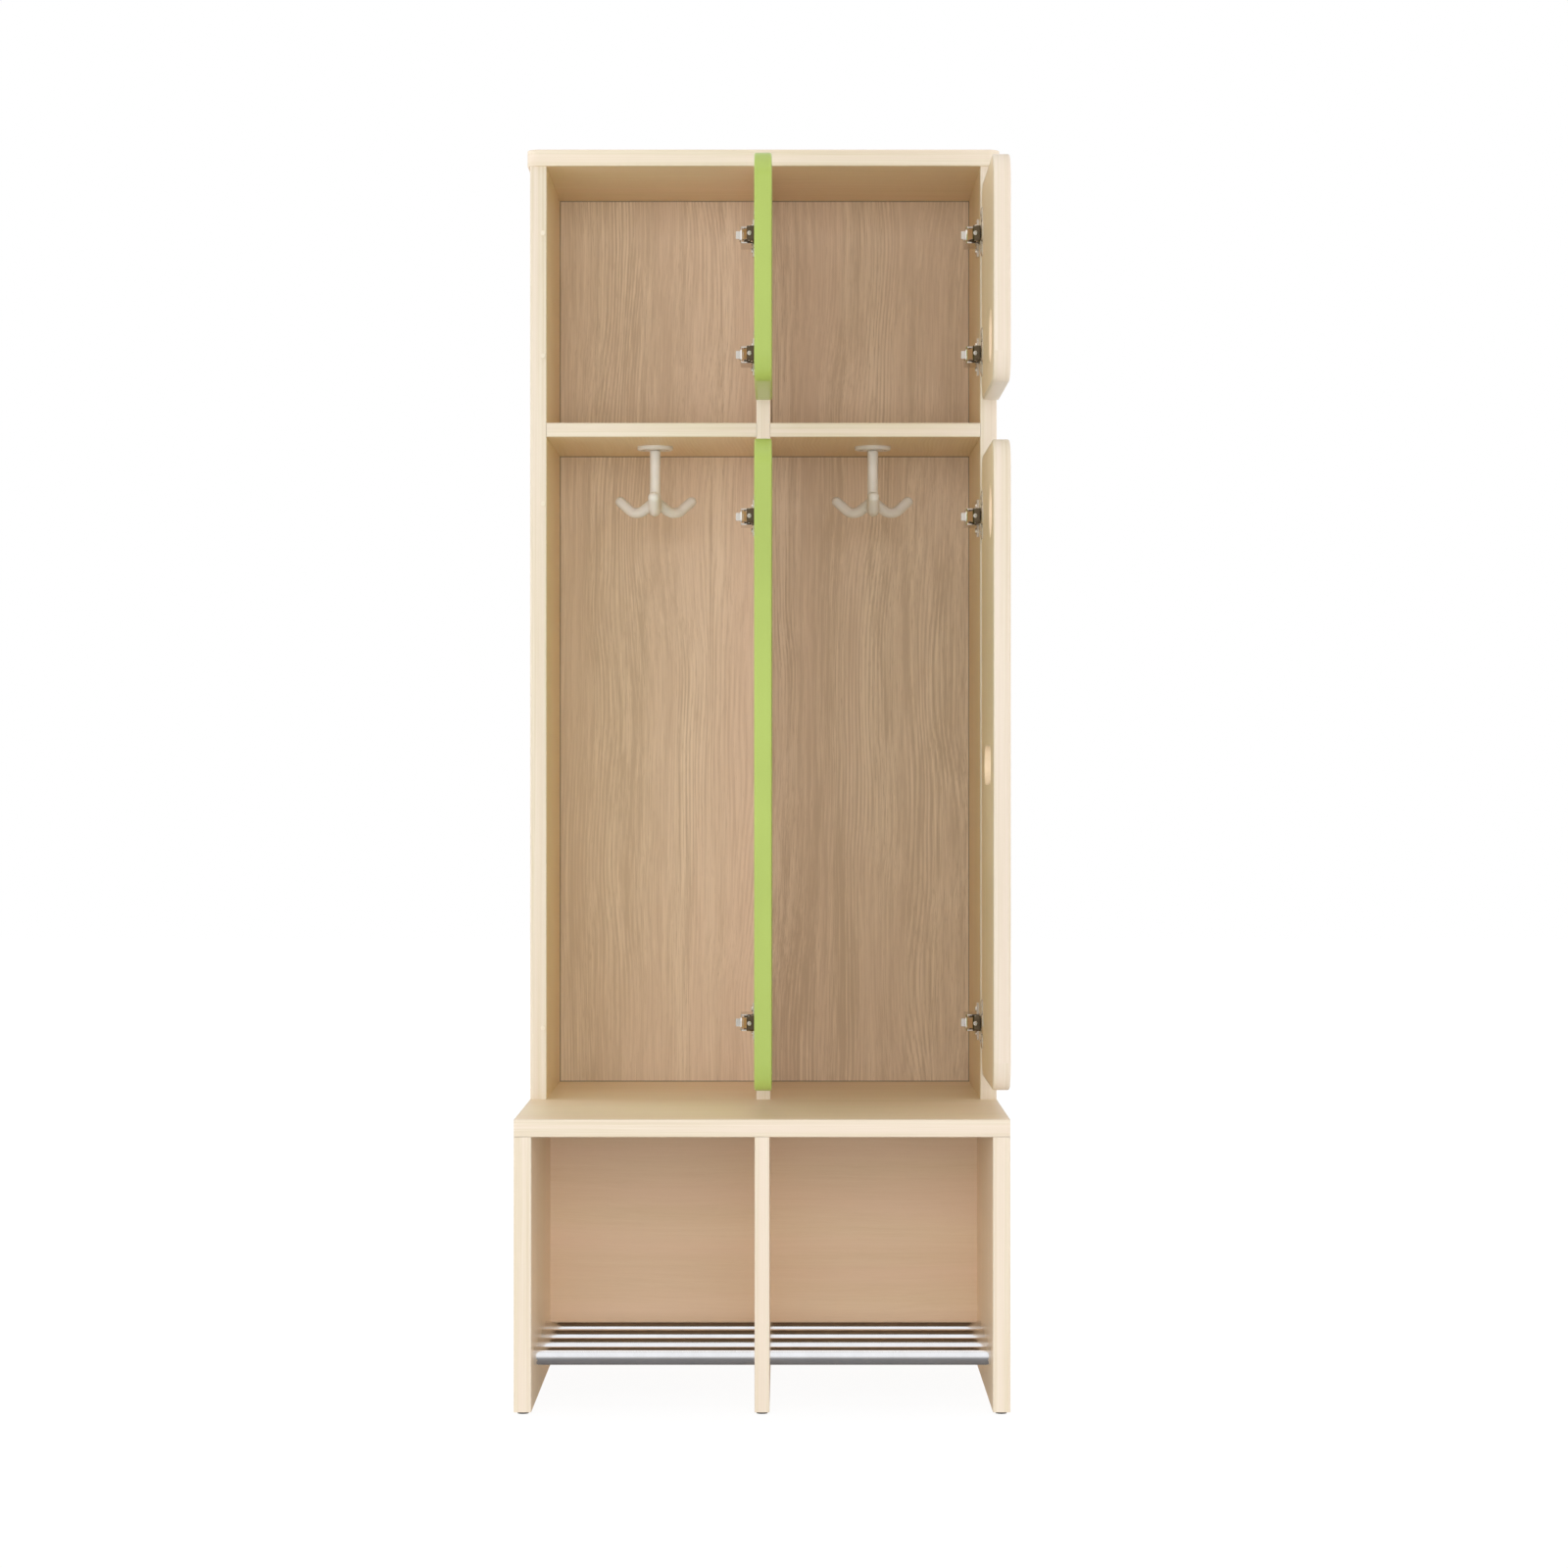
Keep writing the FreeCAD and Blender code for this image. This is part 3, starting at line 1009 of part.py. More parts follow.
def add_hook_arm(body, name, turn):
    """One arm of the hook: a tapering sweep along its axis, closed by a ball at the tip."""
    path = new_sketch(body, "arm_path_" + name, "XZ_Plane")
    path.AttachmentOffset = Placement(Vector(0, 0, 0), turn)
    draw_arm_path(path)
    doc.recompute()
    root = body.newObject("Sketcher::SketchObject", "arm_root_" + name)
    root.AttachmentSupport = [(path, "Edge1")]
    root.MapMode = "NormalToEdge"
    draw_circle(root, NONE, NONE, size["hook_root_radius"])
    tip = body.newObject("Sketcher::SketchObject", "arm_tip_" + name)
    tip.AttachmentSupport = [(path, "Edge3")]
    tip.MapMode = "NormalToEdge"
    tip.MapPathParameter = 1
    draw_circle(tip, NONE, NONE, size["hook_tip_radius"])
    arm = body.newObject("PartDesign::AdditivePipe", "arm_sweep_" + name)
    arm.Profile = root
    arm.Spine = path
    arm.Transformation = "Multisection"
    arm.Sections = [tip]
    ball = body.newObject("PartDesign::AdditiveSphere", "arm_end_" + name)
    bind(ball, "Radius", size["hook_tip_radius"])
    ball.AttachmentSupport = [(origin_feature(body, "XZ_Plane"), "")]
    ball.MapMode = "FlatFace"
    ball.AttachmentOffset = Placement(Vector(0, 0, 0), turn)
    doc.recompute()
    away = turn.multVec(Vector(1, 0, 0))
    bind(ball, ".AttachmentOffset.Base.x", size["hook_tip_reach"] * away.x)
    bind(ball, ".AttachmentOffset.Base.y", size["hook_tip_rise"])
    bind(ball, ".AttachmentOffset.Base.z", size["hook_tip_reach"] * away.z)
    doc.recompute()


def draw_hub(sketch):
    """Half section of the hub: up the axis, out to the stem, down a shoulder, and in below."""
    bottom = size["hook_root_radius"]
    radius, height, stem = size["hub_radius"], size["hub_height"], size["stem_radius"]
    points = [Vector(0, -bottom.value / 2, 0), Vector(radius.value / 2, -bottom.value / 2, 0),
              Vector(radius.value, 0, 0), Vector(radius.value, height.value / 2, 0),
              Vector(stem.value, height.value, 0), Vector(0, height.value, 0)]
    last = len(points)
    for index in range(last):
        sketch.addGeometry(Part.LineSegment(points[index], points[(index + 1) % last]))
    for index in range(last):
        sketch.addConstraint(Sketcher.Constraint("Coincident", index, 2, (index + 1) % last, 1))
    places = [(NONE, -(bottom / 2)), (radius / 2, -(bottom / 2)), (radius, NONE),
              (radius, height / 2), (stem, height), (NONE, height)]
    for index, (across, upward) in enumerate(places):
        fix_point(sketch, index, 1, across, upward)


def draw_arm_path(sketch):
    """An arm's axis in radius and height: a line down, an arc under its centre and a line up."""
    reach, bend = size["hook_low_reach"].value, size["hook_bend"].value
    start = Vector(size["hook_root_reach"].value, size["hook_root_rise"].value, 0)
    end = Vector(size["hook_tip_reach"].value, size["hook_tip_rise"].value, 0)
    centre = Vector(reach, bend, 0)
    down = tangent_point(start, centre, bend, -1)
    up = tangent_point(end, centre, bend, 1)
    circle = Part.Circle(centre, Vector(0, 0, 1), bend)
    sketch.addGeometry(Part.LineSegment(start, down))
    sketch.addGeometry(Part.ArcOfCircle(circle, circle.parameter(down), circle.parameter(up)))
    sketch.addGeometry(Part.LineSegment(up, end))
    sketch.addConstraint(Sketcher.Constraint("Tangent", 0, 2, 1, 1))
    sketch.addConstraint(Sketcher.Constraint("Tangent", 1, 2, 2, 1))
    fix_point(sketch, 0, 1, size["hook_root_reach"], size["hook_root_rise"])
    fix_point(sketch, 2, 2, size["hook_tip_reach"], size["hook_tip_rise"])
    fix_point(sketch, 1, 3, size["hook_low_reach"], size["hook_bend"])
    fix_length(sketch, "Radius", (1,), size["hook_bend"])


def tangent_point(outside, centre, radius, side):
    """Where the line from a point touches the lower part of a circle."""
    gap = outside - centre
    distance = gap.Length
    along = radius * radius / distance
    across = radius * (distance * distance - radius * radius) ** 0.5 / distance
    outward = gap / distance
    sideways = Vector(-outward.y, outward.x, 0)
    return centre + outward * along - sideways * across * side


def make_hooks():
    nodes, screws = [], []
    for side, x in (("left", -BAY_CENTRE), ("right", BAY_CENTRE)):
        pieces, fixings = make_hook(side, x)
        nodes += pieces
        screws += fixings
    nodes.append(group("hook_screws", screws))
    return nodes


def make_dowels():
    """Every dowel of the carcass, lying in its two holes with its ends just clear."""
    dowels = []
    radius, gap = size["dowel_radius"], size["dowel_end_play"]
    in_face, in_edge, in_divider = size["dowel_in_face"], size["dowel_in_edge"], size["dowel_in_divider"]
    long_run = in_face + in_edge - gap * 2
    short_run = in_divider + in_edge - gap * 2
    for line in UPRIGHT_LINES.values():
        x = line - HALF_WIDTH
        for y in CABINET_DOWELS_Y:
            foot = SEAT_TOP - in_face + gap
            dowels.append(cylinder("dowel", radius, long_run, x, y, foot))
            head = TOP_UNDERSIDE - in_edge + gap
            dowels.append(cylinder("dowel", radius, long_run, x, y, head))
        for y in BENCH_DOWELS_Y:
            seat = SEAT_UNDERSIDE - in_edge + gap
            dowels.append(cylinder("dowel", radius, long_run, x,
                                   y + size["bench_dowel_shift"] - size["bench_reach"], seat))
    for y in CABINET_DOWELS_Y:
        z = SHELF_DOWEL_Z
        dowels.append(cylinder("dowel", radius, long_run, -(INNER_HALF + in_face - gap), y, z, ALONG_X))
        dowels.append(cylinder("dowel", radius, short_run, -(HALF_DIVIDER + in_edge - gap), y, z, ALONG_X))
        dowels.append(cylinder("dowel", radius, short_run, HALF_DIVIDER - in_divider + gap, y, z, ALONG_X))
        dowels.append(cylinder("dowel", radius, long_run, INNER_HALF - in_edge + gap, y, z, ALONG_X))
    rack_y = RACK_DEPTH - size["bench_reach"]
    for height in BENCH_BACK_DOWELS_Z:
        z = size["glide_height"] + height
        y = rack_y + size["inner_board"] / 2
        dowels.append(cylinder("dowel", radius, long_run, -(INNER_HALF + in_face - gap), y, z, ALONG_X))
        dowels.append(cylinder("dowel", radius, long_run, INNER_HALF - in_edge + gap, y, z, ALONG_X))
        dowels.append(cylinder("dowel", radius, short_run, NONE, rack_y - in_edge + gap, z, ALONG_Y))
    return [group("carcass_dowels", dowels)]


def make_bench_screws():
    """Countersunk screws from under the bench board up into the cabinet's uprights."""
    screws = []
    for line in UPRIGHT_LINES.values():
        for y in BOLTS_Y:
            x = line - HALF_WIDTH
            shank = cylinder("bolt_shank", size["bolt_radius"], size["bolt_length"], x, y, SEAT_UNDERSIDE)
            head = cylinder("bolt_head", size["bolt_head_radius"], size["bolt_head_height"],
                            x, y, SEAT_UNDERSIDE)
            screws.append(fuse("bench_screw", [shank, head]))
    return [group("bench_screws", screws)]


def make_glides():
    """Nail-on glides under both ends of each bench upright."""
    glides = []
    for line, places in (("left", SIDE_GLIDES_Y), ("middle", MIDDLE_GLIDES_Y), ("right", SIDE_GLIDES_Y)):
        for y in places:
            x = UPRIGHT_LINES[line] - HALF_WIDTH
            disc = cylinder("glide_disc", size["glide_radius"], size["glide_height"])
            nail = cylinder("glide_nail", size["glide_nail_radius"], size["glide_nail_length"],
                            z=size["glide_height"])
            solid = fuse("glide", [disc, nail])
            place(solid, x, y - size["bench_reach"], NONE)
            glides.append(solid)
    return [group("floor_glides", glides)]


def make_buffers():
    """Soft discs on the left upright's front edge that the closed left doors meet."""
    buffers = []
    thickness = CLOSED_GAP - size["buffer_play"]
    x = -(INNER_HALF + size["buffer_inset"])
    for base, height in DOORS.values():
        for z in (base + size["buffer_end_distance"], base + height - size["buffer_end_distance"]):
            buffers.append(cylinder("buffer", size["buffer_radius"], thickness, x, -thickness, z, ALONG_Y))
    return [group("door_buffers", buffers)]


nodes = make_cabinet_uprights() + make_top_panel() + make_shelves() + make_cabinet_back()
nodes += make_bench_board() + make_bench_uprights() + make_bench_back() + make_shoe_tubes()
nodes += make_doors() + make_hinges() + make_hooks()
nodes += make_dowels() + make_bench_screws() + make_glides() + make_buffers()
doc.recompute()

for item in doc.Objects:
    if "Invalid" in item.State or "Error" in item.State:
        raise RuntimeError(f"{item.Label} failed: {item.State}")
for node in nodes:
    if node.Shape.isNull() or not node.Shape.isValid():
        raise RuntimeError(f"{node.Label} has no valid shape")

os.makedirs("parts", exist_ok=True)
for node in nodes:
    node.Shape.exportStep(f"parts/{node.Label}.step")
print(len(nodes), "nodes written")
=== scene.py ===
"""Dresses a wooden cloakroom unit: boards, edge bands, doors, cup hinges, coat hooks and a shoe rack."""

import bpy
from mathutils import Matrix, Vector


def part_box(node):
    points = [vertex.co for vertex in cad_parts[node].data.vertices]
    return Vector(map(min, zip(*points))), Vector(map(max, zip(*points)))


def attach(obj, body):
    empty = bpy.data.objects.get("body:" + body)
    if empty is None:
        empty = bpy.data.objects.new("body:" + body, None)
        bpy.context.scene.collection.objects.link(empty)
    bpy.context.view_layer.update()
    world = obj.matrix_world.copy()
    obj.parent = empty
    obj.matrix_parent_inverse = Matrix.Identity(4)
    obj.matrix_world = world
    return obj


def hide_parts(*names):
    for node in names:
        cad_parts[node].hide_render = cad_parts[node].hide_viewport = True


bl_info = {
    "name": "Cloakroom Unit",
    "version": (1, 0, 0),
    "blender": (4, 5, 0),
    "location": "3D View > Sidebar > Cloakroom",
    "description": "Edge bands, coat hooks, hinge details and finishes of a cloakroom unit with a bench",
    "category": "Object",
}

import bmesh
import bpy
import numpy as np
from mathutils import Vector

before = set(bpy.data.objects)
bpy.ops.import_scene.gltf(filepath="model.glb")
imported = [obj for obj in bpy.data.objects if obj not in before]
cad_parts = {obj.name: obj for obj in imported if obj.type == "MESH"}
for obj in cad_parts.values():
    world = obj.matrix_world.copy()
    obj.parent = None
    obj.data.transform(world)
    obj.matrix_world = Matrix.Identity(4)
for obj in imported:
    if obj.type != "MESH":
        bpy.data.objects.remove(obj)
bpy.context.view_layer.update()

DOORS = ("upper_left", "upper_right", "lower_left", "lower_right")
HOOKS = ("left", "right")
UPRIGHTS = ("side_left", "side_right", "divider", "bench_side_left", "bench_side_right", "bench_divider")
LEVEL_BOARDS = ("shelf_left", "shelf_right", "bench_board")
RIGHT, FRONT, UP = np.array([1.0, 0.0, 0.0]), np.array([0.0, -1.0, 0.0]), np.array([0.0, 0.0, 1.0])


def lows_and_highs(node):
    """The lowest and highest corner of a CAD node as two arrays."""
    low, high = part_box(node)
    return np.array(low), np.array(high)


# Sizes and colours that a user would change

def colour_property(name, description, default):
    return bpy.props.FloatVectorProperty(name=name, description=description, default=default,
                                         subtype="COLOR", size=3, min=0.0, max=1.0)


def length_property(name, description, default):
    return bpy.props.FloatProperty(name=name, description=description, default=default,
                                   subtype="DISTANCE", unit="LENGTH", min=0.0)


class CloakroomSizes(bpy.types.PropertyGroup):
    """Sizes of the pieces that are added to the boards and fittings."""

    band_proud: length_property("Band Proud", "Height of an edge band over the board's faces", 0.00012)
    band_depth: length_property("Band Depth", "Thickness of the straight edge bands", 0.002)
    door_band_depth: length_property("Door Band Depth", "Thickness of the bands round the doors", 0.003)
    board_rounding: length_property("Board Rounding", "Rounding of the boards' front edges", 0.0015)
    door_rounding: length_property("Door Rounding", "Rounding of the doors' edges", 0.0025)
    door_corner: length_property("Door Corner", "Radius of the doors' corners", 0.035)
    top_corner: length_property("Top Corner", "Radius of the top panel's front corners", 0.015)
    hook_voxel: length_property("Hook Voxel", "Grid size for blending a hook's arms into its stem", 0.0008)


class CloakroomColours(bpy.types.PropertyGroup):
    """Colours of the boards and fittings, as linear red, green and blue."""

    board_light: colour_property("Board Light", "Pale tone of the boards' grain", (0.92, 0.77, 0.56))
    board_dark: colour_property("Board Dark", "Dark tone of the boards' grain", (0.80, 0.635, 0.42))
    board_warm: colour_property("Board Warm", "Warm tint in broad bands of the boards", (0.90, 0.70, 0.52))
    back_light: colour_property("Back Light", "Pale tone of the cabinet back's grain", (0.93, 0.775, 0.62))
    back_dark: colour_property("Back Dark", "Dark tone of the cabinet back's grain", (0.68, 0.535, 0.40))
    back_warm: colour_property("Back Warm", "Warm tint in broad bands of the back", (0.83, 0.655, 0.52))
    band_light: colour_property("Band Light", "Pale tone of the edge bands", (0.88, 0.775, 0.64))
    band_dark: colour_property("Band Dark", "Dark tone of the edge bands", (0.77, 0.66, 0.49))
    band_warm: colour_property("Band Warm", "Warm tint in streaks of the edge bands", (0.87, 0.74, 0.62))
    green: colour_property("Green", "Coloured laminate of the left doors", (0.42, 0.54, 0.125))
    green_band: colour_property("Green Band", "Edge bands of the green doors", (0.415, 0.53, 0.115))
    steel: colour_property("Steel", "Polished steel of the shoe tubes", (0.88, 0.885, 0.91))
    nickel_cup: colour_property("Nickel Cups", "Nickel plate of the cups and screws", (0.70, 0.66, 0.60))
    nickel_arm: colour_property("Nickel Arms", "Nickel plate of the hinge arms", (0.66, 0.62, 0.57))
    # painted light: a paler, warmer copy of the arms' nickel, for the beige that the links mirror
    nickel_link: colour_property("Nickel Links", "Pale nickel of the hinge links", (0.88, 0.83, 0.77))
    nickel_plate: colour_property("Nickel Plates", "Pale nickel of the mounting plates", (0.76, 0.69, 0.60))
    # painted reflection and shade: near black nickel for the link covers, for the dark interior they mirror,
    # and for the strips of shade in the arms' mouths
    nickel_cover: colour_property("Nickel Covers", "Dark nickel of the link covers", (0.11, 0.08, 0.048))
    # painted shade: a dark sheet under the bench board, standing in for the shade there that the shoe tubes
    # mirror
    painted_shade_backing: colour_property("Backing", "Plain backing sheet under the bench board", (0.25, 0.18, 0.11))
    hook: colour_property("Hook", "Off-white plastic of the hooks", (0.88, 0.85, 0.82))
    black: colour_property("Black", "Black plastic of the floor glides", (0.012, 0.012, 0.013))


# Shapes as arrays of points

def arc(centre, radius, start, end, steps):
    """Points of a circle's arc: centre plus radius times cosine and sine, from start to end degrees."""
    angle = np.radians(np.linspace(start, end, steps))
    return np.array(centre) + radius * np.stack([np.cos(angle), np.sin(angle)], axis=1)


def carried(profile, places, across, outward):
    """A profile carried along a path: place + profile's x times across + profile's y times outward.

    Across and outward are directions, one for each place or one for the whole path.
    """
    across, outward = np.broadcast_to(across, places.shape), np.broadcast_to(outward, places.shape)
    return places[:, None] + profile[None, :, :1] * across[:, None] + profile[None, :, 1:] * outward[:, None]


def left_of(line):
    """Direction a quarter turn to the left of a plane line's run, at each of its points."""
    heading = np.gradient(line, axis=0)
    heading /= np.linalg.norm(heading, axis=1, keepdims=True)
    return np.column_stack([-heading[:, 1], heading[:, 0]])


def round_corners(corners, radius, steps):
    """Points and outward directions round quarter circles; a corner is a centre and first angle."""
    outline = np.concatenate([arc(centre, radius, start, start + 90, steps) for centre, start in corners])
    outward = np.concatenate([arc((0.0, 0.0), 1.0, start, start + 90, steps) for _, start in corners])
    return outline, outward


def grid_corners(rows, columns, close_rows, close_columns):
    """Rows and columns of the corners of a grid's quads; closing quads go one past the last."""
    row, column = np.meshgrid(np.arange(rows - 1 + close_rows), np.arange(columns - 1 + close_columns),
                              indexing="ij")
    return row.reshape(-1, 1) + [0, 1, 1, 0], column.reshape(-1, 1) + [0, 0, 1, 1]


def run_lengths(points):
    """Distance along a line of points up to each of them."""
    steps = np.linalg.norm(np.diff(points, axis=0), axis=1)
    return np.concatenate([[0.0], np.cumsum(steps)])


class Surface:
    """Points, faces and pattern coordinates of a piece, gathered from one or more grids."""

    def __init__(self):
        self.points, self.faces, self.pattern = [], [], []
        self.count = 0

    def add_grid(self, points, close_rows=False, close_columns=False, cap=False, lengthwise=0.0):
        """Adds a grid of rows by columns; cap closes the first and last row with one face each.

        The pattern is metres along the rows, from lengthwise on, and metres across the columns.
        """
        rows, columns = points.shape[:2]
        corner_rows, corner_columns = grid_corners(rows, columns, close_rows, close_columns)
        faces = corner_rows % rows * columns + corner_columns % columns
        along = run_lengths(np.append(points[:, 0], points[:1, 0], axis=0)) + lengthwise
        across = run_lengths(np.append(points[0], points[0, :1], axis=0))
        self.faces += (faces + self.count).tolist()
        pattern = np.stack([along[corner_rows], across[corner_columns]], axis=-1)
        self.pattern += pattern.reshape(-1, 2).tolist()
        if cap:
            ring = np.arange(columns) + self.count
            for face in (ring[::-1], ring + (rows - 1) * columns):
                self.faces.append(face.tolist())
                self.pattern += np.stack([np.full(columns, lengthwise), across[:columns]], axis=1).tolist()
        self.points.append(points.reshape(-1, 3))
        self.count += rows * columns

    def mesh(self, name):
        made = bpy.data.meshes.new(name)
        made.from_pydata(np.concatenate(self.points).tolist(), [], self.faces)
        layer = made.uv_layers.new(name="pattern")
        layer.data.foreach_set("uv", np.array(self.pattern, dtype=np.float32).ravel())
        work = bmesh.new()
        work.from_mesh(made)
        bmesh.ops.recalc_face_normals(work, faces=work.faces)
        work.to_mesh(made)
        work.free()
        return made

    def piece(self, name, body, slot, finish, smooth_angle=35.0):
        """Makes one piece of all that is gathered."""
        return put(name, self.mesh(name), body, finish, smooth_angle)


def put(name, mesh, body, finish, smooth_angle):
    """Makes the object of a mesh, lets it ride on its body and gives it the finish of that key."""
    piece = bpy.data.objects.new(name, mesh)
    bpy.context.scene.collection.objects.link(piece)
    mesh.materials.append(finish_named(finish))
    mesh.shade_smooth()
    mesh.set_sharp_from_angle(angle=np.radians(smooth_angle))
    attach(piece, body)
    return piece


# Finishes as node trees; the scales of their noises are waves per metre

class Value:
    """A socket that can stand in sums: every operation adds one Math node."""

    def __init__(self, graph, socket):
        self.graph, self.socket = graph, socket

    def _math(self, operation, *terms):
        return self.graph.node("ShaderNodeMath", {"operation": operation}, dict(enumerate(terms)))

    def __add__(self, other):
        return self._math("ADD", self, other)

    def __sub__(self, other):
        return self._math("SUBTRACT", self, other)

    def __mul__(self, other):
        return self._math("MULTIPLY", self, other)

    def __rsub__(self, other):
        return self._math("SUBTRACT", other, self)

    def __abs__(self):
        return self._math("ABSOLUTE", self)

    __radd__ = __add__
    __rmul__ = __mul__

    def sine(self):
        return self._math("SINE", self)

    def at_least(self, other):
        return self._math("MAXIMUM", self, other)


class Graph:
    """The node tree of a material or of the world."""

    def __init__(self, owner):
        owner.use_nodes = True
        self.tree = owner.node_tree
        self.tree.nodes.clear()

    def node(self, kind, settings=None, inputs=None, output=0):
        """Adds a node: its settings first, then the values or links of its sockets."""
        made = self.tree.nodes.new(kind)
        for name, setting in (settings or {}).items():
            setattr(made, name, setting)
        for key, item in (inputs or {}).items():
            self.feed(made.inputs[key], item)
        return None if output is None else Value(self, made.outputs[output])

    def feed(self, socket, item):
        if isinstance(item, Value):
            self.tree.links.new(item.socket, socket)
        elif socket.type == "RGBA" and len(item) == 3:
            socket.default_value = (*item, 1.0)
        else:
            socket.default_value = item

    def place(self, source="Object"):
        """Where a point lies on the piece: its place in the object, or its pattern map."""
        return self.node("ShaderNodeTexCoord", output=source)

    def part(self, vector, axis):
        return self.node("ShaderNodeSeparateXYZ", None, {0: vector}, output=axis)

    def ray(self, kind):
        """One for a ray of that kind, or else zero."""
        return self.node("ShaderNodeLightPath", output=f"Is {kind} Ray")

    def scaled(self, vector, factors, shift=(0.0, 0.0, 0.0)):
        return self.node("ShaderNodeVectorMath", {"operation": "MULTIPLY_ADD"},
                         {0: vector, 1: factors, 2: shift})

    def noise(self, vector, detail=2.0, roughness=0.5, distortion=0.0):
        return self.node("ShaderNodeTexNoise", {"noise_dimensions": "3D"},
                         {"Vector": vector, "Scale": 1.0, "Detail": detail, "Roughness": roughness,
                          "Distortion": distortion})

    def between(self, value, low, high, start=0.0, end=1.0):
        """The value taken from low..high to start..end, and held at the ends."""
        return self.node("ShaderNodeMapRange", {"clamp": True},
                         {"Value": value, "From Min": low, "From Max": high, "To Min": start, "To Max": end})

    def wavering(self, middle, noise, less, more):
        """A value that wavers with a noise, from middle - less to middle + more."""
        return self.between(noise, 0.3, 0.7, middle - less, middle + more)

    def mix(self, factor, first, second):
        return self.node("ShaderNodeMix", {"data_type": "RGBA"}, {0: factor, 6: first, 7: second}, output=2)

    def mix_shader(self, factor, first, second):
        return self.node("ShaderNodeMixShader", None, {0: factor, 1: first, 2: second})


class Finish(Graph):
    """One material, built on a Principled shader."""

    def __init__(self, name):
        self.material = bpy.data.materials.new(name)
        super().__init__(self.material)
        self.shader = self.tree.nodes.new("ShaderNodeBsdfPrincipled")
        self.output = self.tree.nodes.new("ShaderNodeOutputMaterial")
        self.tree.links.new(self.shader.outputs[0], self.output.inputs["Surface"])

    def bump(self, height, distance, strength):
        return self.node("ShaderNodeBump", None,
                         {"Height": height, "Distance": distance, "Strength": strength})

    def surface(self, **sockets):
        for name, item in sockets.items():
            self.feed(self.shader.inputs[name.replace("_", " ")], item)
        return self.material


def dimmed(colour, factor):
    """The colour, each channel times the factor."""
    return tuple(channel * factor for channel in colour)


def tinted(tones, factors):
    """The tones, each channel times its factor and at most white."""
    return [tuple(min(1.0, channel * factor) for channel, factor in zip(tone, factors)) for tone in tones]


def grain(finish, along, tones, figure, contrast, lines):
    """Veneer grain along one axis, from noise on the place drawn out along that axis.

    A slow noise first moves the place sideways by up to figure, so that the whole grain flows.
    On that place lie streaks, fine fibres, short dark pores and broad bands of tone, and in
    patches closely spaced growth lines, the sine of the way across, about 5 mm apart. Returns
    colour, tone and fibres.
    """
    light, dark, warm = tones
    length = "XYZ".index(along)
    across_mask = tuple(0.0 if axis == length else 1.0 for axis in range(3))

    def drawn(vector, across, lengthwise, shift=0.0):
        factors = tuple(lengthwise if axis == length else across for axis in range(3))
        return finish.scaled(vector, factors, (shift,) * 3)

    place = finish.place()
    bend = finish.noise(drawn(place, 4.5, 1.7), 2.0, 0.4)
    aside = finish.node("ShaderNodeVectorMath", {"operation": "SCALE"},
                        {0: across_mask, "Scale": (bend - 0.5) * figure})
    flowing = finish.node("ShaderNodeVectorMath", {"operation": "ADD"}, {0: place, 1: aside})

    def layer(across, lengthwise, shift, detail, roughness=0.5):
        return finish.noise(drawn(flowing, across, lengthwise, shift), detail, roughness)

    fibres = layer(640.0, 13.0, 0.0, 3.0, 0.6)
    streaks = layer(170.0, 4.0, 7.0, 3.0, 0.55)
    bands = layer(15.0, 1.1, 3.0, 2.0)
    pores = finish.between(layer(1050.0, 46.0, 5.0, 1.0), 0.60, 0.72)
    way = finish.node("ShaderNodeVectorMath", {"operation": "DOT_PRODUCT"},
                      {0: flowing, 1: across_mask}, output=1)
    uneven = layer(38.0, 2.5, 9.0, 1.0)
    line = (way * 1250.0 + uneven * 16.0).sine()
    patch = finish.between(layer(17.0, 1.9, 1.0, 1.0), 0.47, 0.62)
    tone = (fibres - 0.5) * (1.1 * contrast) + (streaks - 0.5) * (1.2 * contrast)
    tone = tone + (bands - 0.5) * (0.8 * contrast) - pores * (0.30 * contrast)
    tone = tone + line * patch * lines + 0.5
    colour = finish.mix(finish.between(tone, 0.0, 1.0), dark, light)
    hue = layer(24.0, 1.6, 11.0, 1.0)
    return finish.mix(finish.between(hue, 0.35, 0.65, 0.0, 0.5), colour, warm), tone, fibres


def board_finish(name, along, tones, figure, contrast, lines=0.0, roughness=0.42, painted_shade_backing=None):
    """Satin wood-grain laminate with a slight relief; below the height in painted_shade_backing, a dark sheet
    of painted shade.
    """
    finish = Finish(name)
    colour, tone, fibres = grain(finish, along, tones, figure, contrast, lines)
    if painted_shade_backing:
        sheet, top = painted_shade_backing
        # painted shade: below the board's underside the grain gives way to a dark sheet, for the shade that
        # the tubes below mirror
        height = finish.part(finish.place(), "Z")
        painted_shade_colour = finish.mix(finish.between(fibres, 0.3, 0.7), dimmed(sheet, 0.9), sheet)
        colour = finish.mix(finish.between(height, top, top + PAINTED_SHADE_EDGE), painted_shade_colour, colour)
    return finish.surface(Base_Color=colour, Roughness=finish.wavering(roughness, fibres, 0.05, 0.06),
                          Normal=finish.bump(tone, 0.0001, 0.25), Specular_IOR_Level=0.35)


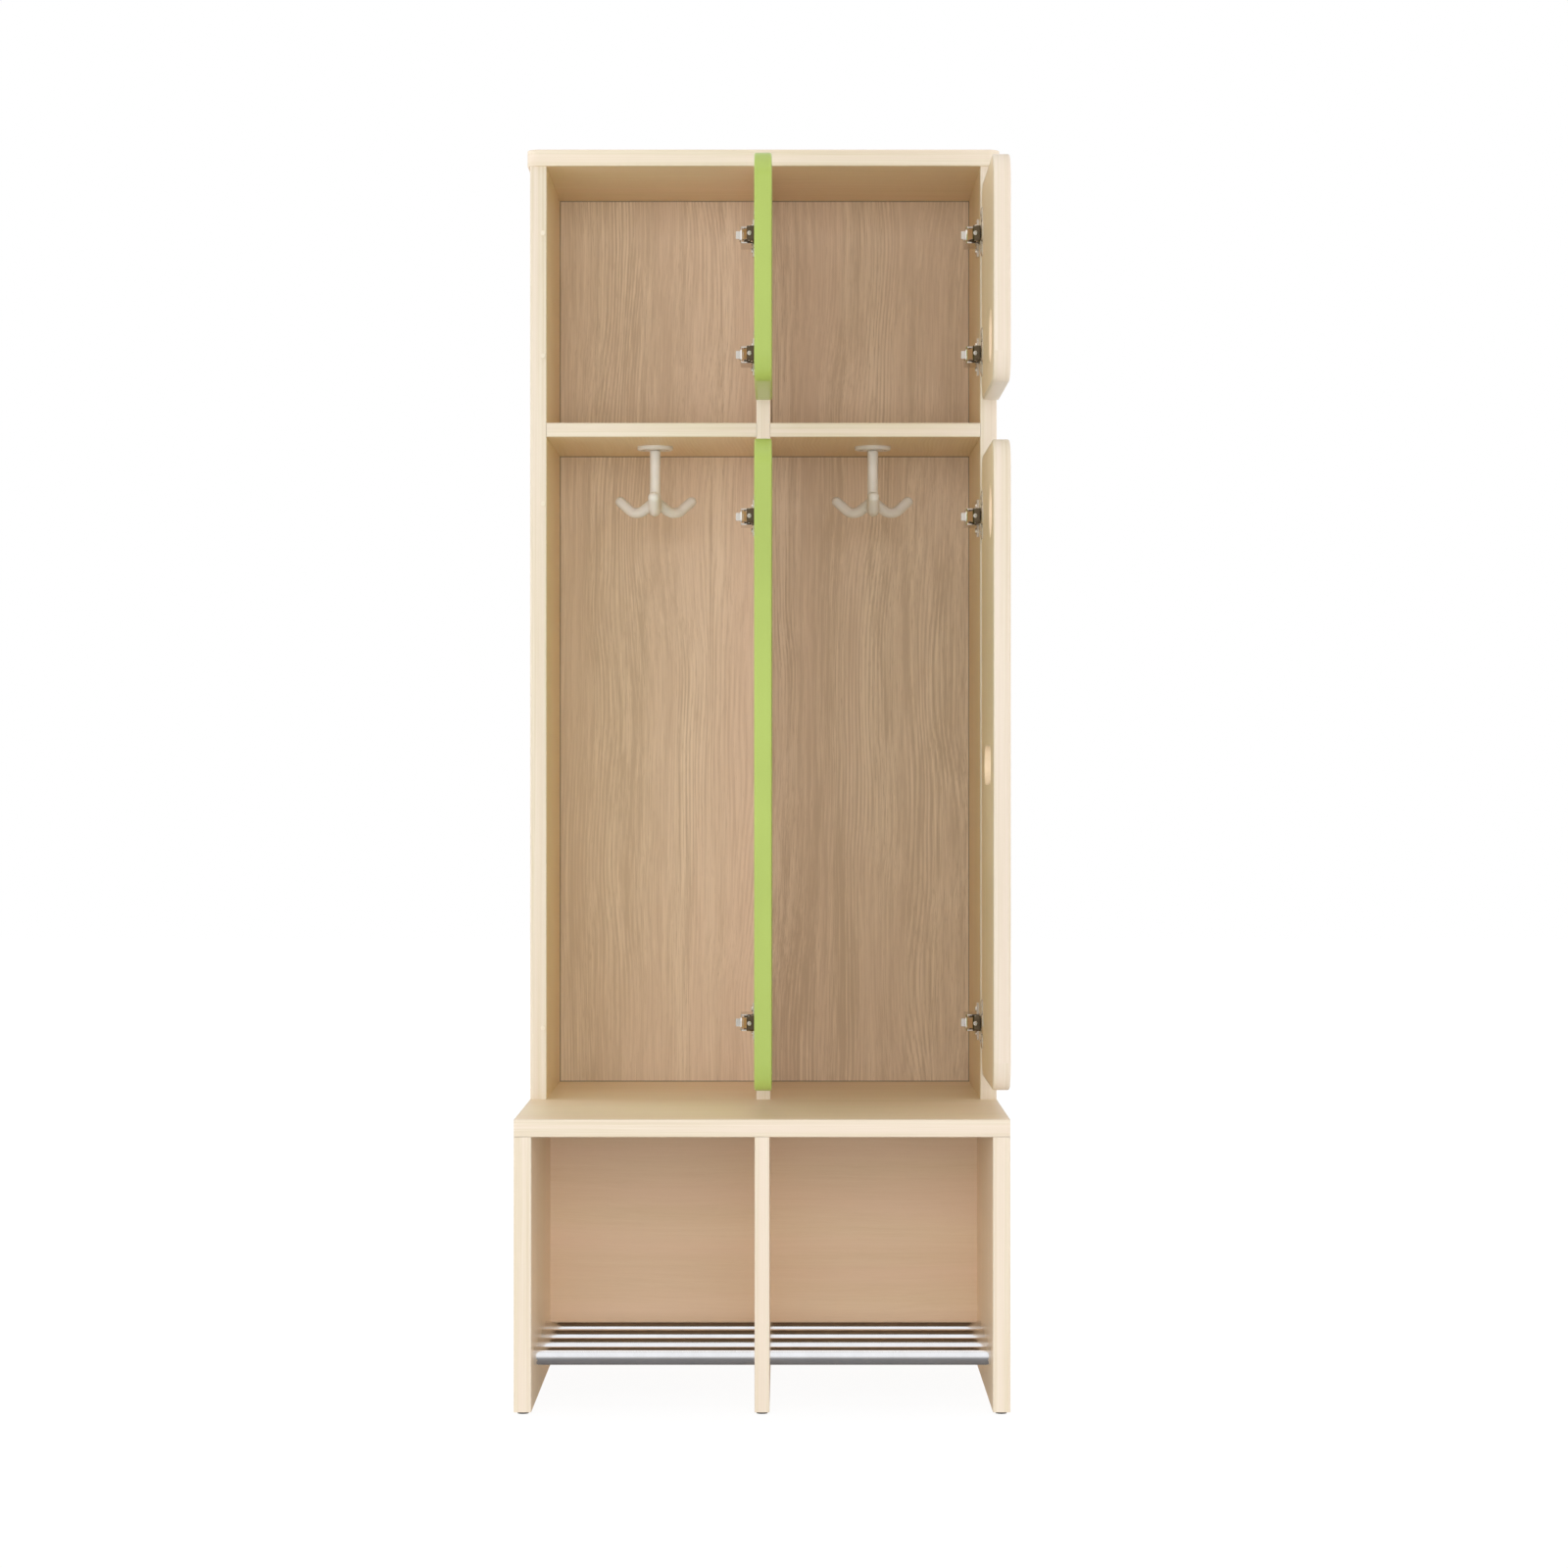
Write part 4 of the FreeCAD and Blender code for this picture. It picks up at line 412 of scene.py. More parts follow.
def back_finish(name, tones):
    """Oak-like panel of the cabinet's back, with thin lines of painted shade where it enters the boards, for
    the shadow in the gap of its groove.
    """
    finish = Finish(name)
    colour, tone, fibres = grain(finish, "Z", tones, 0.07, 1.75, 0.34)
    place = finish.place()
    coordinates = {axis: finish.part(place, axis) for axis in (0, 2)}
    # painted shade: a dark line along each joint with a board, for the shadow in the gap there
    painted_gap_shade = 0.0
    for node, end, axis in (("side_left", 1, 0), ("divider", 0, 0), ("divider", 1, 0), ("side_right", 0, 0),
                            ("top_panel", 0, 2), ("shelf_left", 0, 2), ("shelf_left", 1, 2),
                            ("bench_board", 1, 2)):
        gap = abs(coordinates[axis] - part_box(node)[end][axis])
        painted_gap_shade = finish.between(gap, 0.0006, 0.0018, 1.0, 0.0).at_least(painted_gap_shade)
    return finish.surface(Base_Color=finish.mix(painted_gap_shade * 0.85, colour, dimmed(tones[1], 0.35)),
                          Roughness=finish.wavering(0.5, fibres, 0.05, 0.06),
                          Normal=finish.bump(tone, 0.0001, 0.35), Specular_IOR_Level=0.3)


def band_finish(name, tones):
    """Edge band: soft streaks that follow the band, from its own pattern map."""
    light, dark, warm = tones
    finish = Finish(name)
    pattern = finish.place("UV")
    streak = finish.noise(finish.scaled(pattern, (2.2, 300.0, 1.0)), 3.0, 0.55, 0.2)
    broad = finish.noise(finish.scaled(pattern, (1.1, 85.0, 1.0), (3.0, 5.0, 0.0)))
    fine = finish.noise(finish.scaled(pattern, (14.0, 1100.0, 1.0)))
    hue = finish.noise(finish.scaled(pattern, (1.7, 140.0, 1.0), (8.0, 2.0, 0.0)), 1.0)
    tone = (streak - 0.5) * 2.7 + (broad - 0.5) * 1.6 + (fine - 0.5) * 1.1 + 0.5
    colour = finish.mix(finish.between(tone, 0.0, 1.0), dark, light)
    return finish.surface(Base_Color=finish.mix(finish.between(hue, 0.38, 0.62, 0.0, 0.6), colour, warm),
                          Roughness=finish.wavering(0.4, fine, 0.04, 0.05),
                          Normal=finish.bump(tone, 0.0001, 0.15), Specular_IOR_Level=0.35)


def coloured_finish(name, colour, roughness):
    """Plain coloured laminate: a fine pearl texture and a hardly visible change of tone."""
    finish = Finish(name)
    place = finish.place()
    cloud = finish.noise(finish.scaled(place, (9.0, 9.0, 5.0)))
    pearl = finish.noise(finish.scaled(place, (1900.0,) * 3), 2.0, 0.6)
    paler = tuple(min(1.0, channel * 1.04 + 0.004) for channel in colour)
    tone = finish.between(cloud * 0.8 + pearl * 0.2, 0.35, 0.65)
    return finish.surface(Base_Color=finish.mix(tone, dimmed(colour, 0.93), paler),
                          Roughness=finish.wavering(roughness, pearl, 0.04, 0.05),
                          Normal=finish.bump(pearl, 0.00006, 0.3), Specular_IOR_Level=0.4)


def steel_finish(name, colour, along, roughness):
    """Polished metal with hairline drawing marks along one axis and faint handling marks."""
    finish = Finish(name)
    place = finish.place()
    factors = tuple(9.0 if axis == along else 3200.0 for axis in "XYZ")
    lines = finish.noise(finish.scaled(place, factors), 2.0, 0.6)
    smudge = finish.noise(finish.scaled(place, (34.0,) * 3), 3.0, 0.6)
    marks = smudge * 0.6 + lines * 0.4
    tone = finish.mix(finish.between(smudge, 0.35, 0.7), colour, dimmed(colour, 0.94))
    return finish.surface(Base_Color=tone, Metallic=1.0,
                          Roughness=finish.between(marks, 0.35, 0.7, roughness, roughness + 0.05),
                          Normal=finish.bump(lines, 0.00001, 0.08))


def plastic_finish(name, colour, roughness):
    """Moulded plastic: a fine skin texture and slightly uneven gloss."""
    finish = Finish(name)
    place = finish.place()
    skin = finish.noise(finish.scaled(place, (900.0,) * 3), 2.0, 0.55)
    cloud = finish.noise(finish.scaled(place, (28.0,) * 3))
    tone = finish.mix(finish.between(cloud, 0.35, 0.65), dimmed(colour, 0.94), colour)
    return finish.surface(Base_Color=tone, Roughness=finish.wavering(roughness, skin, 0.06, 0.06),
                          Normal=finish.bump(skin, 0.00005, 0.3), Specular_IOR_Level=0.45)


BEECH = ((0.72, 0.54, 0.36), (0.55, 0.38, 0.23), (0.70, 0.50, 0.33))
CLEAR_BUFFER = (0.88, 0.78, 0.64)
# how far the bench board's painted shade reaches up from its underside
PAINTED_SHADE_EDGE = 0.0002
FINISHES = {}

# Finish of the CAD nodes: its key, then how their names start; the first match holds
NODE_FINISHES = (
    ("buffer", "door_buffers"), ("green", "door_upper_left", "door_lower_left"), ("door", "door_"),
    ("level", "top_panel"), ("shelf", "shelf_"), ("upright", "side_", "divider"),
    ("bench_level", "bench_board"), ("bench_upright", "bench_side", "bench_divider"),
    ("back", "cabinet_back"), ("bench_back", "bench_back"), ("steel", "shoe_tube"),
    ("screw", "hinge_arm_screws", "hook_screws", "cup_screws", "bench_screws", "hook_axle"),
    ("cup", "hinge_cup"), ("arm", "hinge_arm"), ("plate", "hinge_"), ("hook", "hook_"),
    ("dowel", "carcass_dowels"), ("black", "floor_glides"))


def finish_table():
    """Every finish as its maker and what that takes, with the colours set in the panel.

    A board takes its name, grain's axis, tones, figure, contrast, lines, roughness and backing.
    """
    colours = bpy.context.scene.cloakroom_colours
    board, back, band = ([getattr(colours, f"{kind}_{tone}")[:] for tone in ("light", "dark", "warm")]
                         for kind in ("board", "back", "band"))
    # lit and shaded copies of the one board laminate, painted light and shade: the cabinet's boards less blue
    # for the deeper hue of their shaded inside, and the bench's uprights, its seat, the doors and the bench
    # back paler for more light on them
    cabinet = tinted(board, (1.0, 0.97, 0.90))
    bench = tinted(board, (1.08,) * 3)
    seat = tinted(board, (1.05, 1.05, 1.07))
    door = tinted(board, (1.07, 1.06, 1.06))
    panel = tinted(board, (1.07, 1.03, 1.05))
    # the bench board's painted shade: its colour and the height it reaches to
    painted_shade_backing = (colours.painted_shade_backing[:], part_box("bench_board")[0][2] + PAINTED_SHADE_EDGE)
    return {
        "upright": (board_finish, "board_upright", "Z", cabinet, 0.05, 0.8, 0.05),
        "door": (board_finish, "door_light", "Z", door, 0.05, 0.8, 0.05),
        "bench_upright": (board_finish, "bench_upright", "Z", bench, 0.05, 0.8, 0.05),
        "level": (board_finish, "board_level", "X", cabinet, 0.05, 1.25, 0.10),
        "bench_level": (board_finish, "bench_level", "X", seat, 0.05, 1.25, 0.10, 0.42, painted_shade_backing),
        "shelf": (board_finish, "board_shelf", "Y", cabinet, 0.04, 1.0, 0.22),
        "back": (back_finish, "cabinet_back", back),
        "bench_back": (board_finish, "bench_back", "X", panel, 0.04, 0.6),
        "dowel": (board_finish, "dowel_beech", "Z", BEECH, 0.01, 1.0, 0.0, 0.6),
        "band": (band_finish, "edge_band", band),
        # painted shade: a slightly darker copy of the edge band, for the front edges that face the main lamp
        "front_band": (band_finish, "front_band", tinted(band, (0.95, 0.95, 0.96))),
        "green": (coloured_finish, "green_laminate", colours.green[:], 0.38),
        "green_band": (coloured_finish, "green_band", colours.green_band[:], 0.3),
        "steel": (steel_finish, "polished_steel", colours.steel[:], "X", 0.05),
        "cup": (steel_finish, "nickel_cups", colours.nickel_cup[:], "Z", 0.2),
        "arm": (steel_finish, "nickel_arms", colours.nickel_arm[:], "Y", 0.14),
        "link": (steel_finish, "nickel_links", colours.nickel_link[:], "Z", 0.1),
        "plate": (steel_finish, "nickel_plates", colours.nickel_plate[:], "Z", 0.2),
        # painted reflection and shade: the covers and the strips in the arms' mouths
        "cover": (steel_finish, "nickel_covers", colours.nickel_cover[:], "Z", 0.14),
        "screw": (steel_finish, "screw_steel", colours.nickel_cup[:], "X", 0.18),
        "hook": (plastic_finish, "hook_plastic", colours.hook[:], 0.32),
        "black": (plastic_finish, "black_plastic", colours.black[:], 0.5),
        "buffer": (plastic_finish, "buffer_plastic", CLEAR_BUFFER, 0.3),
    }


def finish_named(key):
    """The material of that key, made the first time that it is asked for."""
    if key not in FINISHES:
        maker, *settings = finish_table()[key]
        FINISHES[key] = maker(*settings)
    return FINISHES[key]


def finish_of_node(name):
    """Which finish a CAD node gets."""
    for key, *starts in NODE_FINISHES:
        if name.startswith(tuple(starts)):
            return key
    raise RuntimeError(f"no finish for {name}")


# Operators, one for each group of pieces

class CLOAKROOM_OT_finishes(bpy.types.Operator):
    """Give every board and fitting its own finish"""

    bl_idname = "cloakroom.finishes"
    bl_label = "Finish Boards and Fittings"

    def execute(self, context):
        for name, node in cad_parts.items():
            node.data.materials.clear()
            node.data.materials.append(finish_named(finish_of_node(name)))
        return {"FINISHED"}


def band_profile(thickness, rounding, depth, proud, steps=7):
    """Section of an edge band, lying over a rounded edge: x across the board, y out of its edge.

    It runs up one face, round a quarter circle, across the edge, round again and down the other
    face, and closes inside the board.
    """
    half, radius, wall = thickness / 2, rounding + proud, 0.0004
    left = arc((-half + rounding, -rounding), radius, 180, 90, steps)
    right = arc((half - rounding, -rounding), radius, 90, 0, steps)
    outer, inner = half + proud, half - wall
    return np.concatenate([[[-outer, -depth]], left, right,
                           [[outer, -depth], [inner, -depth], [-inner, -depth]]])


def straight_band(surface, start, end, across, outward, profile):
    """One straight run of band between two points, cut square and closed at both ends."""
    rows = carried(profile, np.array([start, end]), across, outward)
    surface.add_grid(rows, close_columns=True, cap=True, lengthwise=float(np.sum(start)))


# How far from the rear edge the bands of the top and of the bench's ends stop; the latter's rounding
TOP_BAND_STOP, END_BAND_STOP, END_BAND_ROUNDING = 0.002, 0.0005, 0.0002


class CLOAKROOM_OT_edge_bands(bpy.types.Operator):
    """Lay the edge bands on the edges of the fixed boards"""

    bl_idname = "cloakroom.edge_bands"
    bl_label = "Add Edge Bands"

    def execute(self, context):
        sizes = context.scene.cloakroom_sizes
        for name in (*UPRIGHTS, *LEVEL_BOARDS):
            low, high = lows_and_highs(name)
            upright = name in UPRIGHTS
            axis, across = (0, RIGHT) if upright else (2, UP)
            start, end = (high.copy(), low.copy()) if upright else (low.copy(), high.copy())
            for point in (start, end):
                point[1], point[axis] = low[1], (low[axis] + high[axis]) / 2
            surface = Surface()
            straight_band(surface, start, end, across, FRONT, self.profile(sizes, high[axis] - low[axis]))
            surface.piece("edge_band_" + name, "cabinet", "board",
                          "band" if name.startswith("bench") else "front_band")
        self.top_band(sizes)
        self.bench_end_bands(sizes)
        return {"FINISHED"}

    def profile(self, sizes, thickness):
        """Section of the band of a board of that thickness."""
        return band_profile(thickness, sizes.board_rounding, sizes.band_depth, sizes.band_proud)

    def top_band(self, sizes):
        """The top's band: up one side, round the front corners and back down the other side."""
        low, high = lows_and_highs("top_panel")
        radius, rear = sizes.top_corner, high[1] - TOP_BAND_STOP
        near, far = low + radius, high - radius
        corners = [((near[0], near[1]), 180), ((far[0], near[1]), 270)]
        outline, outward = round_corners(corners, radius, 13)
        outline = np.concatenate([[[low[0], rear]], outline, [[high[0], rear]]])
        outward = np.concatenate([[[-1.0, 0.0]], outward, [[1.0, 0.0]]])
        places = np.insert(outline, 2, (low[2] + high[2]) / 2, axis=1)
        outward = np.insert(outward, 2, 0.0, axis=1)
        surface = Surface()
        surface.add_grid(carried(self.profile(sizes, high[2] - low[2]), places, UP, outward),
                         close_columns=True, cap=True)
        surface.piece("edge_band_top_panel", "cabinet", "board", "band")

    def bench_end_bands(self, sizes):
        """Flat bands on the two ends of the bench board."""
        low, high = lows_and_highs("bench_board")
        middle = (low[2] + high[2]) / 2
        front, rear = low[1] + sizes.band_depth, high[1] - END_BAND_STOP
        profile = band_profile(high[2] - low[2], END_BAND_ROUNDING, sizes.band_depth / 2, sizes.band_proud, 3)
        surface = Surface()
        straight_band(surface, (low[0], rear, middle), (low[0], front, middle), UP, -RIGHT, profile)
        straight_band(surface, (high[0], front, middle), (high[0], rear, middle), UP, RIGHT, profile)
        surface.piece("edge_band_bench_ends", "cabinet", "board", "band")


class CLOAKROOM_OT_door_bands(bpy.types.Operator):
    """Carry a band round the edge of each door, corners included"""

    bl_idname = "cloakroom.door_bands"
    bl_label = "Add Door Bands"

    def execute(self, context):
        sizes = context.scene.cloakroom_sizes
        radius = sizes.door_corner
        for door in DOORS:
            low, high = lows_and_highs("door_" + door)
            near, far = low + radius, high - radius
            corners = [((near[1], near[2]), 180), ((far[1], near[2]), 270), ((far[1], far[2]), 0),
                       ((near[1], far[2]), 90)]
            outline, outward = round_corners(corners, radius, 19)
            places = np.insert(outline, 0, (low[0] + high[0]) / 2, axis=1)
            profile = band_profile(high[0] - low[0], sizes.door_rounding, sizes.door_band_depth,
                                   sizes.band_proud, 9)
            surface = Surface()
            surface.add_grid(carried(profile, places, RIGHT, np.insert(outward, 0, 0.0, axis=1)),
                             close_rows=True, close_columns=True)
            looks = ("door_green", "green_band") if door.endswith("left") else ("door_light", "front_band")
            surface.piece("edge_band_door_" + door, door + "_door", *looks)
        return {"FINISHED"}


def hinges():
    """Every hinge as its door's name and the middle of its pin, read from the pins and cups."""
    found = []
    for door in DOORS:
        pins = sum(lows_and_highs("hinge_pins_" + door)) / 2
        for end in ("top", "bottom"):
            cup = sum(lows_and_highs(f"hinge_cup_{door}_{end}")) / 2
            found.append((door, np.array([*pins[:2], cup[2]])))
    return found


# A hinge's screw heads and rivets on the cabinet: group, place from the pin, the way it faces,
# radius, height and turn
SCREW_RADIUS, SCREW_HEIGHT = 0.0037, 0.0019
HINGE_HEADS = (
    ("plates", (-0.0145, 0.050, 0.016), (-1, 0, 0), SCREW_RADIUS, SCREW_HEIGHT, 0.7),
    ("plates", (-0.0145, 0.050, -0.016), (-1, 0, 0), SCREW_RADIUS, SCREW_HEIGHT, 1.4),
    ("cabinet", (-0.0300, 0.050, 0.0), (-1, 0, 0), SCREW_RADIUS, SCREW_HEIGHT, 1.4),
    ("cabinet", (-0.0183, -0.0033, 0.0), (0, -1, 0), 0.0029, 0.0007, 1.4),
    ("cabinet", (-0.0187, -0.0020, 0.0088), (0, -1, 0), 0.0011, 0.0011, 1.4),
    ("cabinet", (-0.0187, -0.0020, -0.0088), (0, -1, 0), 0.0011, 0.0011, 1.4))

# The cup's flange: the middle of its face from the pin, its rise, how far its screws lie from the
# middle and how far their heads stand out
FLANGE_FACE, FLANGE_RISE, CUP_SCREW_REACH, CUP_SCREW_RISE = (-0.0108, -0.012, 0.0), 0.0012, 0.024, 0.0003
FITTING_ANGLE = 40.0


def screw_head(surface, centre, axis, radius, height, turn):
    """A pan head with a cross recess, as rings about its axis.

    The height is a flat dome, full height times (1 - fall (distance / radius) squared), less the
    recess: two crossed grooves whose depth fades out at their sides and ends.
    """
    fall, rim, recess, level, fade, groove_end = 0.35, 0.45, 0.45, 1.6, 8.0, 0.68
    distance = np.concatenate([[1.0, 1.0, 0.97], np.linspace(0.9, 0.02, 22)])[:, None]
    angle = np.radians(np.arange(0, 360, 5.0))[None]
    across, along = distance * np.cos(angle), distance * np.sin(angle)
    groove = np.maximum(*(np.clip(level - np.abs(way) * fade, 0, 1) for way in (across, along)))
    groove = groove * np.clip((groove_end - distance) * fade, 0, 1)
    rise = height * (1.0 - fall * distance ** 2 - recess * groove)
    rise[0], rise[1] = 0.0, height * rim
    axis = np.array(axis, dtype=float)
    beside = np.array([-axis[1], axis[0], 0.0])
    first = beside * np.cos(turn) + UP * np.sin(turn)
    second = UP * np.cos(turn) - beside * np.sin(turn)
    disc = radius * (across[..., None] * first + along[..., None] * second)
    surface.add_grid(centre + disc + rise[..., None] * axis, close_columns=True, cap=True)


def plate_wing(surface, centre, side):
    """One end of a cup's flange: rings from its foot, over a rounded rim, to the middle.

    Each ring is a rectangle's outline with a half round outer end, drawn in by the way round the rim.
    """
    half, reach, start = 0.0080, 0.0310, 0.0135
    inset = np.array([0.0, 0.0, 0.0003, 0.0009, 0.0040, 0.0075])
    height = np.array([0.0, 0.6, 0.88, 1.0, 1.0, 1.0]) * FLANGE_RISE
    half_round = arc((0.0, 0.0), 1.0, 0, 180, 25)
    rings = []
    for drawn, rise in zip(inset, height):
        radius = half - drawn
        ring = np.concatenate([[[radius, start + drawn]], half_round * radius + [0, reach - half],
                               [[-radius, start + drawn]]])
        rings.append(np.column_stack([np.full(len(ring), -rise), ring[:, 0], side * ring[:, 1]]))
    surface.add_grid(centre + np.array(rings), close_columns=True, cap=True)


class CLOAKROOM_OT_hinge_details(bpy.types.Operator):
    """Add each hinge's link, cover, rivets, raised cup flange and recessed screw heads"""

    bl_idname = "cloakroom.hinge_details"
    bl_label = "Add Hinge Details"

    def execute(self, context):
        links, covers = Surface(), Surface()
        flanges = {door: Surface() for door in DOORS}
        heads = {group: Surface() for group in ("plates", "cabinet", *DOORS)}
        for index, (door, pin) in enumerate(hinges()):
            self.link(links, pin)
            # the cover and the mouth strips take near black nickel: painted reflection of the dark interior
            # and painted shade in the arm's mouth
            self.cover(covers, pin)
            self.painted_shade_strips(covers, pin)
            # so that no two hinges have their screws turned alike
            first_turn = 0.5 + 0.9 * index
            for group, place, axis, radius, height, turn in HINGE_HEADS:
                screw_head(heads[group], pin + place, axis, radius, height, first_turn + turn)
            face = pin + FLANGE_FACE
            for side in (1, -1):
                plate_wing(flanges[door], face, side)
                screw_head(heads[door], face + (-FLANGE_RISE, 0.0, side * CUP_SCREW_REACH), (-1, 0, 0),
                           SCREW_RADIUS, CUP_SCREW_RISE, first_turn + 1.4 + side)
            self.rim(flanges[door], face)
        pieces = [("hinge_links", links, "cabinet", "hinge_steel", "link"),
                  ("hinge_covers", covers, "cabinet", "hinge_steel", "cover"),
                  ("screw_heads_plates", heads["plates"], "cabinet", "screw_steel", "plate"),
                  ("screw_heads_cabinet", heads["cabinet"], "cabinet", "screw_steel", "screw")]
        for door in DOORS:
            pieces += [("screw_heads_" + door, heads[door], door + "_door", "screw_steel", "screw"),
                       ("cup_flanges_" + door, flanges[door], door + "_door", "hinge_steel", "cup")]
        for name, surface, *looks in pieces:
            surface.piece(name, *looks, FITTING_ANGLE)
        return {"FINISHED"}

    def carry(self, surface, profile, line, pin):
        """Carries an upright section along a line that lies level with the pin."""
        places = np.insert(line, 2, 0.0, axis=1) + pin
        outward = np.insert(left_of(line), 2, 0.0, axis=1)
        surface.add_grid(carried(profile, places, UP, outward), close_columns=True, cap=True)

    def link(self, surface, pin):
        """The link: a shallow channel section carried from beside the cup round the neck into the arm.

        It runs level with the pin, through a bend of 2.5 mm radius, slanting back to the arm's mouth
        and over a short lip across it. Its width leaves the closed cup's wall and rim free.
        """
        half, leg, wall, corner = 0.0068, 0.0030, 0.0010, 0.0010
        left = arc((-half + corner, -corner), corner, 180, 90, 5)
        right = arc((half - corner, -corner), corner, 90, 0, 5)
        inner = half - wall
        inside = [[half, -leg], [inner, -leg], [inner, -wall], [-inner, -wall], [-inner, -leg]]
        profile = np.concatenate([[[-half, -leg]], left, right, inside])
        bend = arc((-19.6, 0.0), 2.5, 270, 208.5, 9)
        slant_and_lip = [[-26.7, 12.3], [-28.1, 14.0], [-28.9, 14.7], [-30.1, 14.9]]
        line = np.concatenate([[[-11.3, -2.5], [-16.0, -2.5]], bend, slant_and_lip]) / 1000
        self.carry(surface, profile, line, pin)

    def cover(self, surface, pin):
        """The cover over the link's front, in near black nickel that paints the dark interior it mirrors: a
        crowned section carried sideways from the cup.

        The crown is its rise times the root of one minus the way to its edge to the sixth power.
        """
        half, rise, foot, edge = 0.0098, 0.0008, 0.0012, 0.0002
        across = np.concatenate([[-half], np.linspace(-half + edge, half - edge, 21), [half]])
        crown = rise * np.sqrt(np.clip(1 - (np.abs(across) / half) ** 6, 0, 1))
        profile = np.concatenate([np.column_stack([across, crown]), [[half, -foot], [-half, -foot]]])
        line = np.array([[-11.6, -2.5], [-11.9, -2.5], [-19.0, -2.5], [-20.6, -2.1], [-21.3, -1.2]]) / 1000
        self.carry(surface, profile, line, pin)

    def painted_shade_strips(self, surface, pin):
        """Strips of painted shade in the arm's mouth, above and below the link, where the channel's inside
        lies in shade: half rounds carried sideways.
        """
        half, rise, foot, height = 0.0010, 0.0006, 0.0004, 0.0079
        bow = arc((0.0, 0.0), 1.0, 0, 180, 9) * [half, rise]
        profile = np.concatenate([bow, [[-half, -foot], [half, -foot]]])
        for level in (height, -height):
            places = pin + np.array([[-0.0165, 0.0156, level], [-0.0255, 0.0156, level]])
            surface.add_grid(carried(profile, places, UP, FRONT), close_columns=True, cap=True)

    def rim(self, surface, face):
        """The raised rim on the far side of the cup: a rounded bar carried along a circle's arc."""
        outward = np.insert(arc((0.0, 0.0), 1.0, 140, 220, 25), 0, 0.0, axis=1)
        profile = np.array([[0.0, -1.9], [0.0, 0.0], [-0.6, 0.0], [-0.9, -0.3], [-1.2, -0.9], [-0.9, -1.6],
                            [-0.6, -1.9]]) / 1000
        places = face + 0.0184 * outward
        surface.add_grid(carried(profile, places, RIGHT, outward), close_columns=True, cap=True)


class CLOAKROOM_PT_panel(bpy.types.Panel):
    """Lists the steps that dress the cloakroom unit"""

    bl_label = "Cloakroom Unit"
    bl_idname = "CLOAKROOM_PT_panel"
    bl_space_type = "VIEW_3D"
    bl_region_type = "UI"
    bl_category = "Cloakroom"

    def draw(self, context):
        for operator in OPERATORS:
            self.layout.operator(operator.bl_idname)
        for group in (context.scene.cloakroom_sizes, context.scene.cloakroom_colours):
            box = self.layout.box()
            for name in group.bl_rna.properties.keys():
                if name not in ("rna_type", "name"):
                    box.prop(group, name)


# A hook's arms as angle and fullness, and its stem as radius and height, from its foot in metres
HOOK_ARMS = ((270, 1.12), (30, 1.0), (150, 1.0))
HOOK_STEM = np.array([[0.2, -3.6], [4.6, -3.3], [7.3, -1.2], [8.6, 2.4], [8.9, 6.0], [8.7, 10.0], [8.0, 14.5],
                      [7.4, 19.0], [7.1, 26.0], [7.0, 50.0], [7.1, 62.0], [7.2, 79.0], [6.7, 80.9],
                      [5.9, 81.4], [0.2, 81.4]]) / 1000


def arm_path(steps):
    """Middle line of a hook's arm as reach and height: a line down, an arc below its centre, a line up.

    The lines touch the arc, and the points lie at even distances along the whole.
    """
    start, end, centre, bend = np.array([3.0, 12.5]), np.array([54.7, 15.6]), np.array([28.2, 20.0]), 20.0

    def touching(point, side):
        gap = point - centre
        distance = np.hypot(*gap)
        outward = gap / distance
        sideways = side * np.array([-outward[1], outward[0]])
        return centre + (outward * bend - sideways * np.sqrt(distance ** 2 - bend ** 2)) * bend / distance

    down, up = touching(start, -1), touching(end, 1)
    angles = [np.degrees(np.arctan2(*(point - centre)[::-1])) for point in (down, up)]
    whole = np.concatenate([np.linspace(start, down, 30), arc(centre, bend, angles[0], angles[1], 80),
                            np.linspace(up, end, 30)])
    run = run_lengths(whole)
    even = np.linspace(0.0, run[-1], steps)
    return np.stack([np.interp(even, run, whole[:, axis]) for axis in (0, 1)], axis=1) / 1000


def hook_arm(angle, axis, foot, fullness):
    """A hook's arm: a circle carried along the arm's line, with a round end.

    Its radius goes from root to tip with the way gone to the power of 1.3. Past the end of the line
    it falls as the root of one minus the square of the way gone.
    """
    line = arm_path(44)
    root, tip = 0.0071 * fullness, 0.0068 * fullness
    slope = np.gradient(line, axis=0)
    slope /= np.linalg.norm(slope, axis=1, keepdims=True)
    radius = root + (tip - root) * np.linspace(0, 1, len(line)) ** 1.3
    way = np.sin(np.radians(np.linspace(9, 88, 10)))
    line = np.concatenate([line, line[-1] + slope[-1] * tip * way[:, None]])
    slope = np.concatenate([slope, np.tile(slope[-1], (len(way), 1))])
    radius = np.concatenate([radius, tip * np.sqrt(1 - way ** 2)])
    turn = np.radians(angle)
    outward = np.array([np.cos(turn), np.sin(turn), 0.0])
    beside = np.array([-np.sin(turn), np.cos(turn), 0.0])
    places = np.array([axis[0], axis[1], foot]) + line[:, :1] * outward + line[:, 1:] * UP
    normal = -slope[:, 1:] * outward + slope[:, :1] * UP
    circle = arc((0, 0), 1.0, 0, 345, 24)[None]
    ring = circle[..., :1] * beside + circle[..., 1:] * normal[:, None]
    return places[:, None] + radius[:, None, None] * ring


def turned(profile, axis):
    """A profile of radius and height turned about an upright axis."""
    ring = np.insert(arc((0.0, 0.0), 1.0, 0, 352.5, 48), 2, 0.0, axis=1)
    return axis * [1, 1, 0] + profile[:, None, :1] * ring + profile[:, None, 1:] * UP


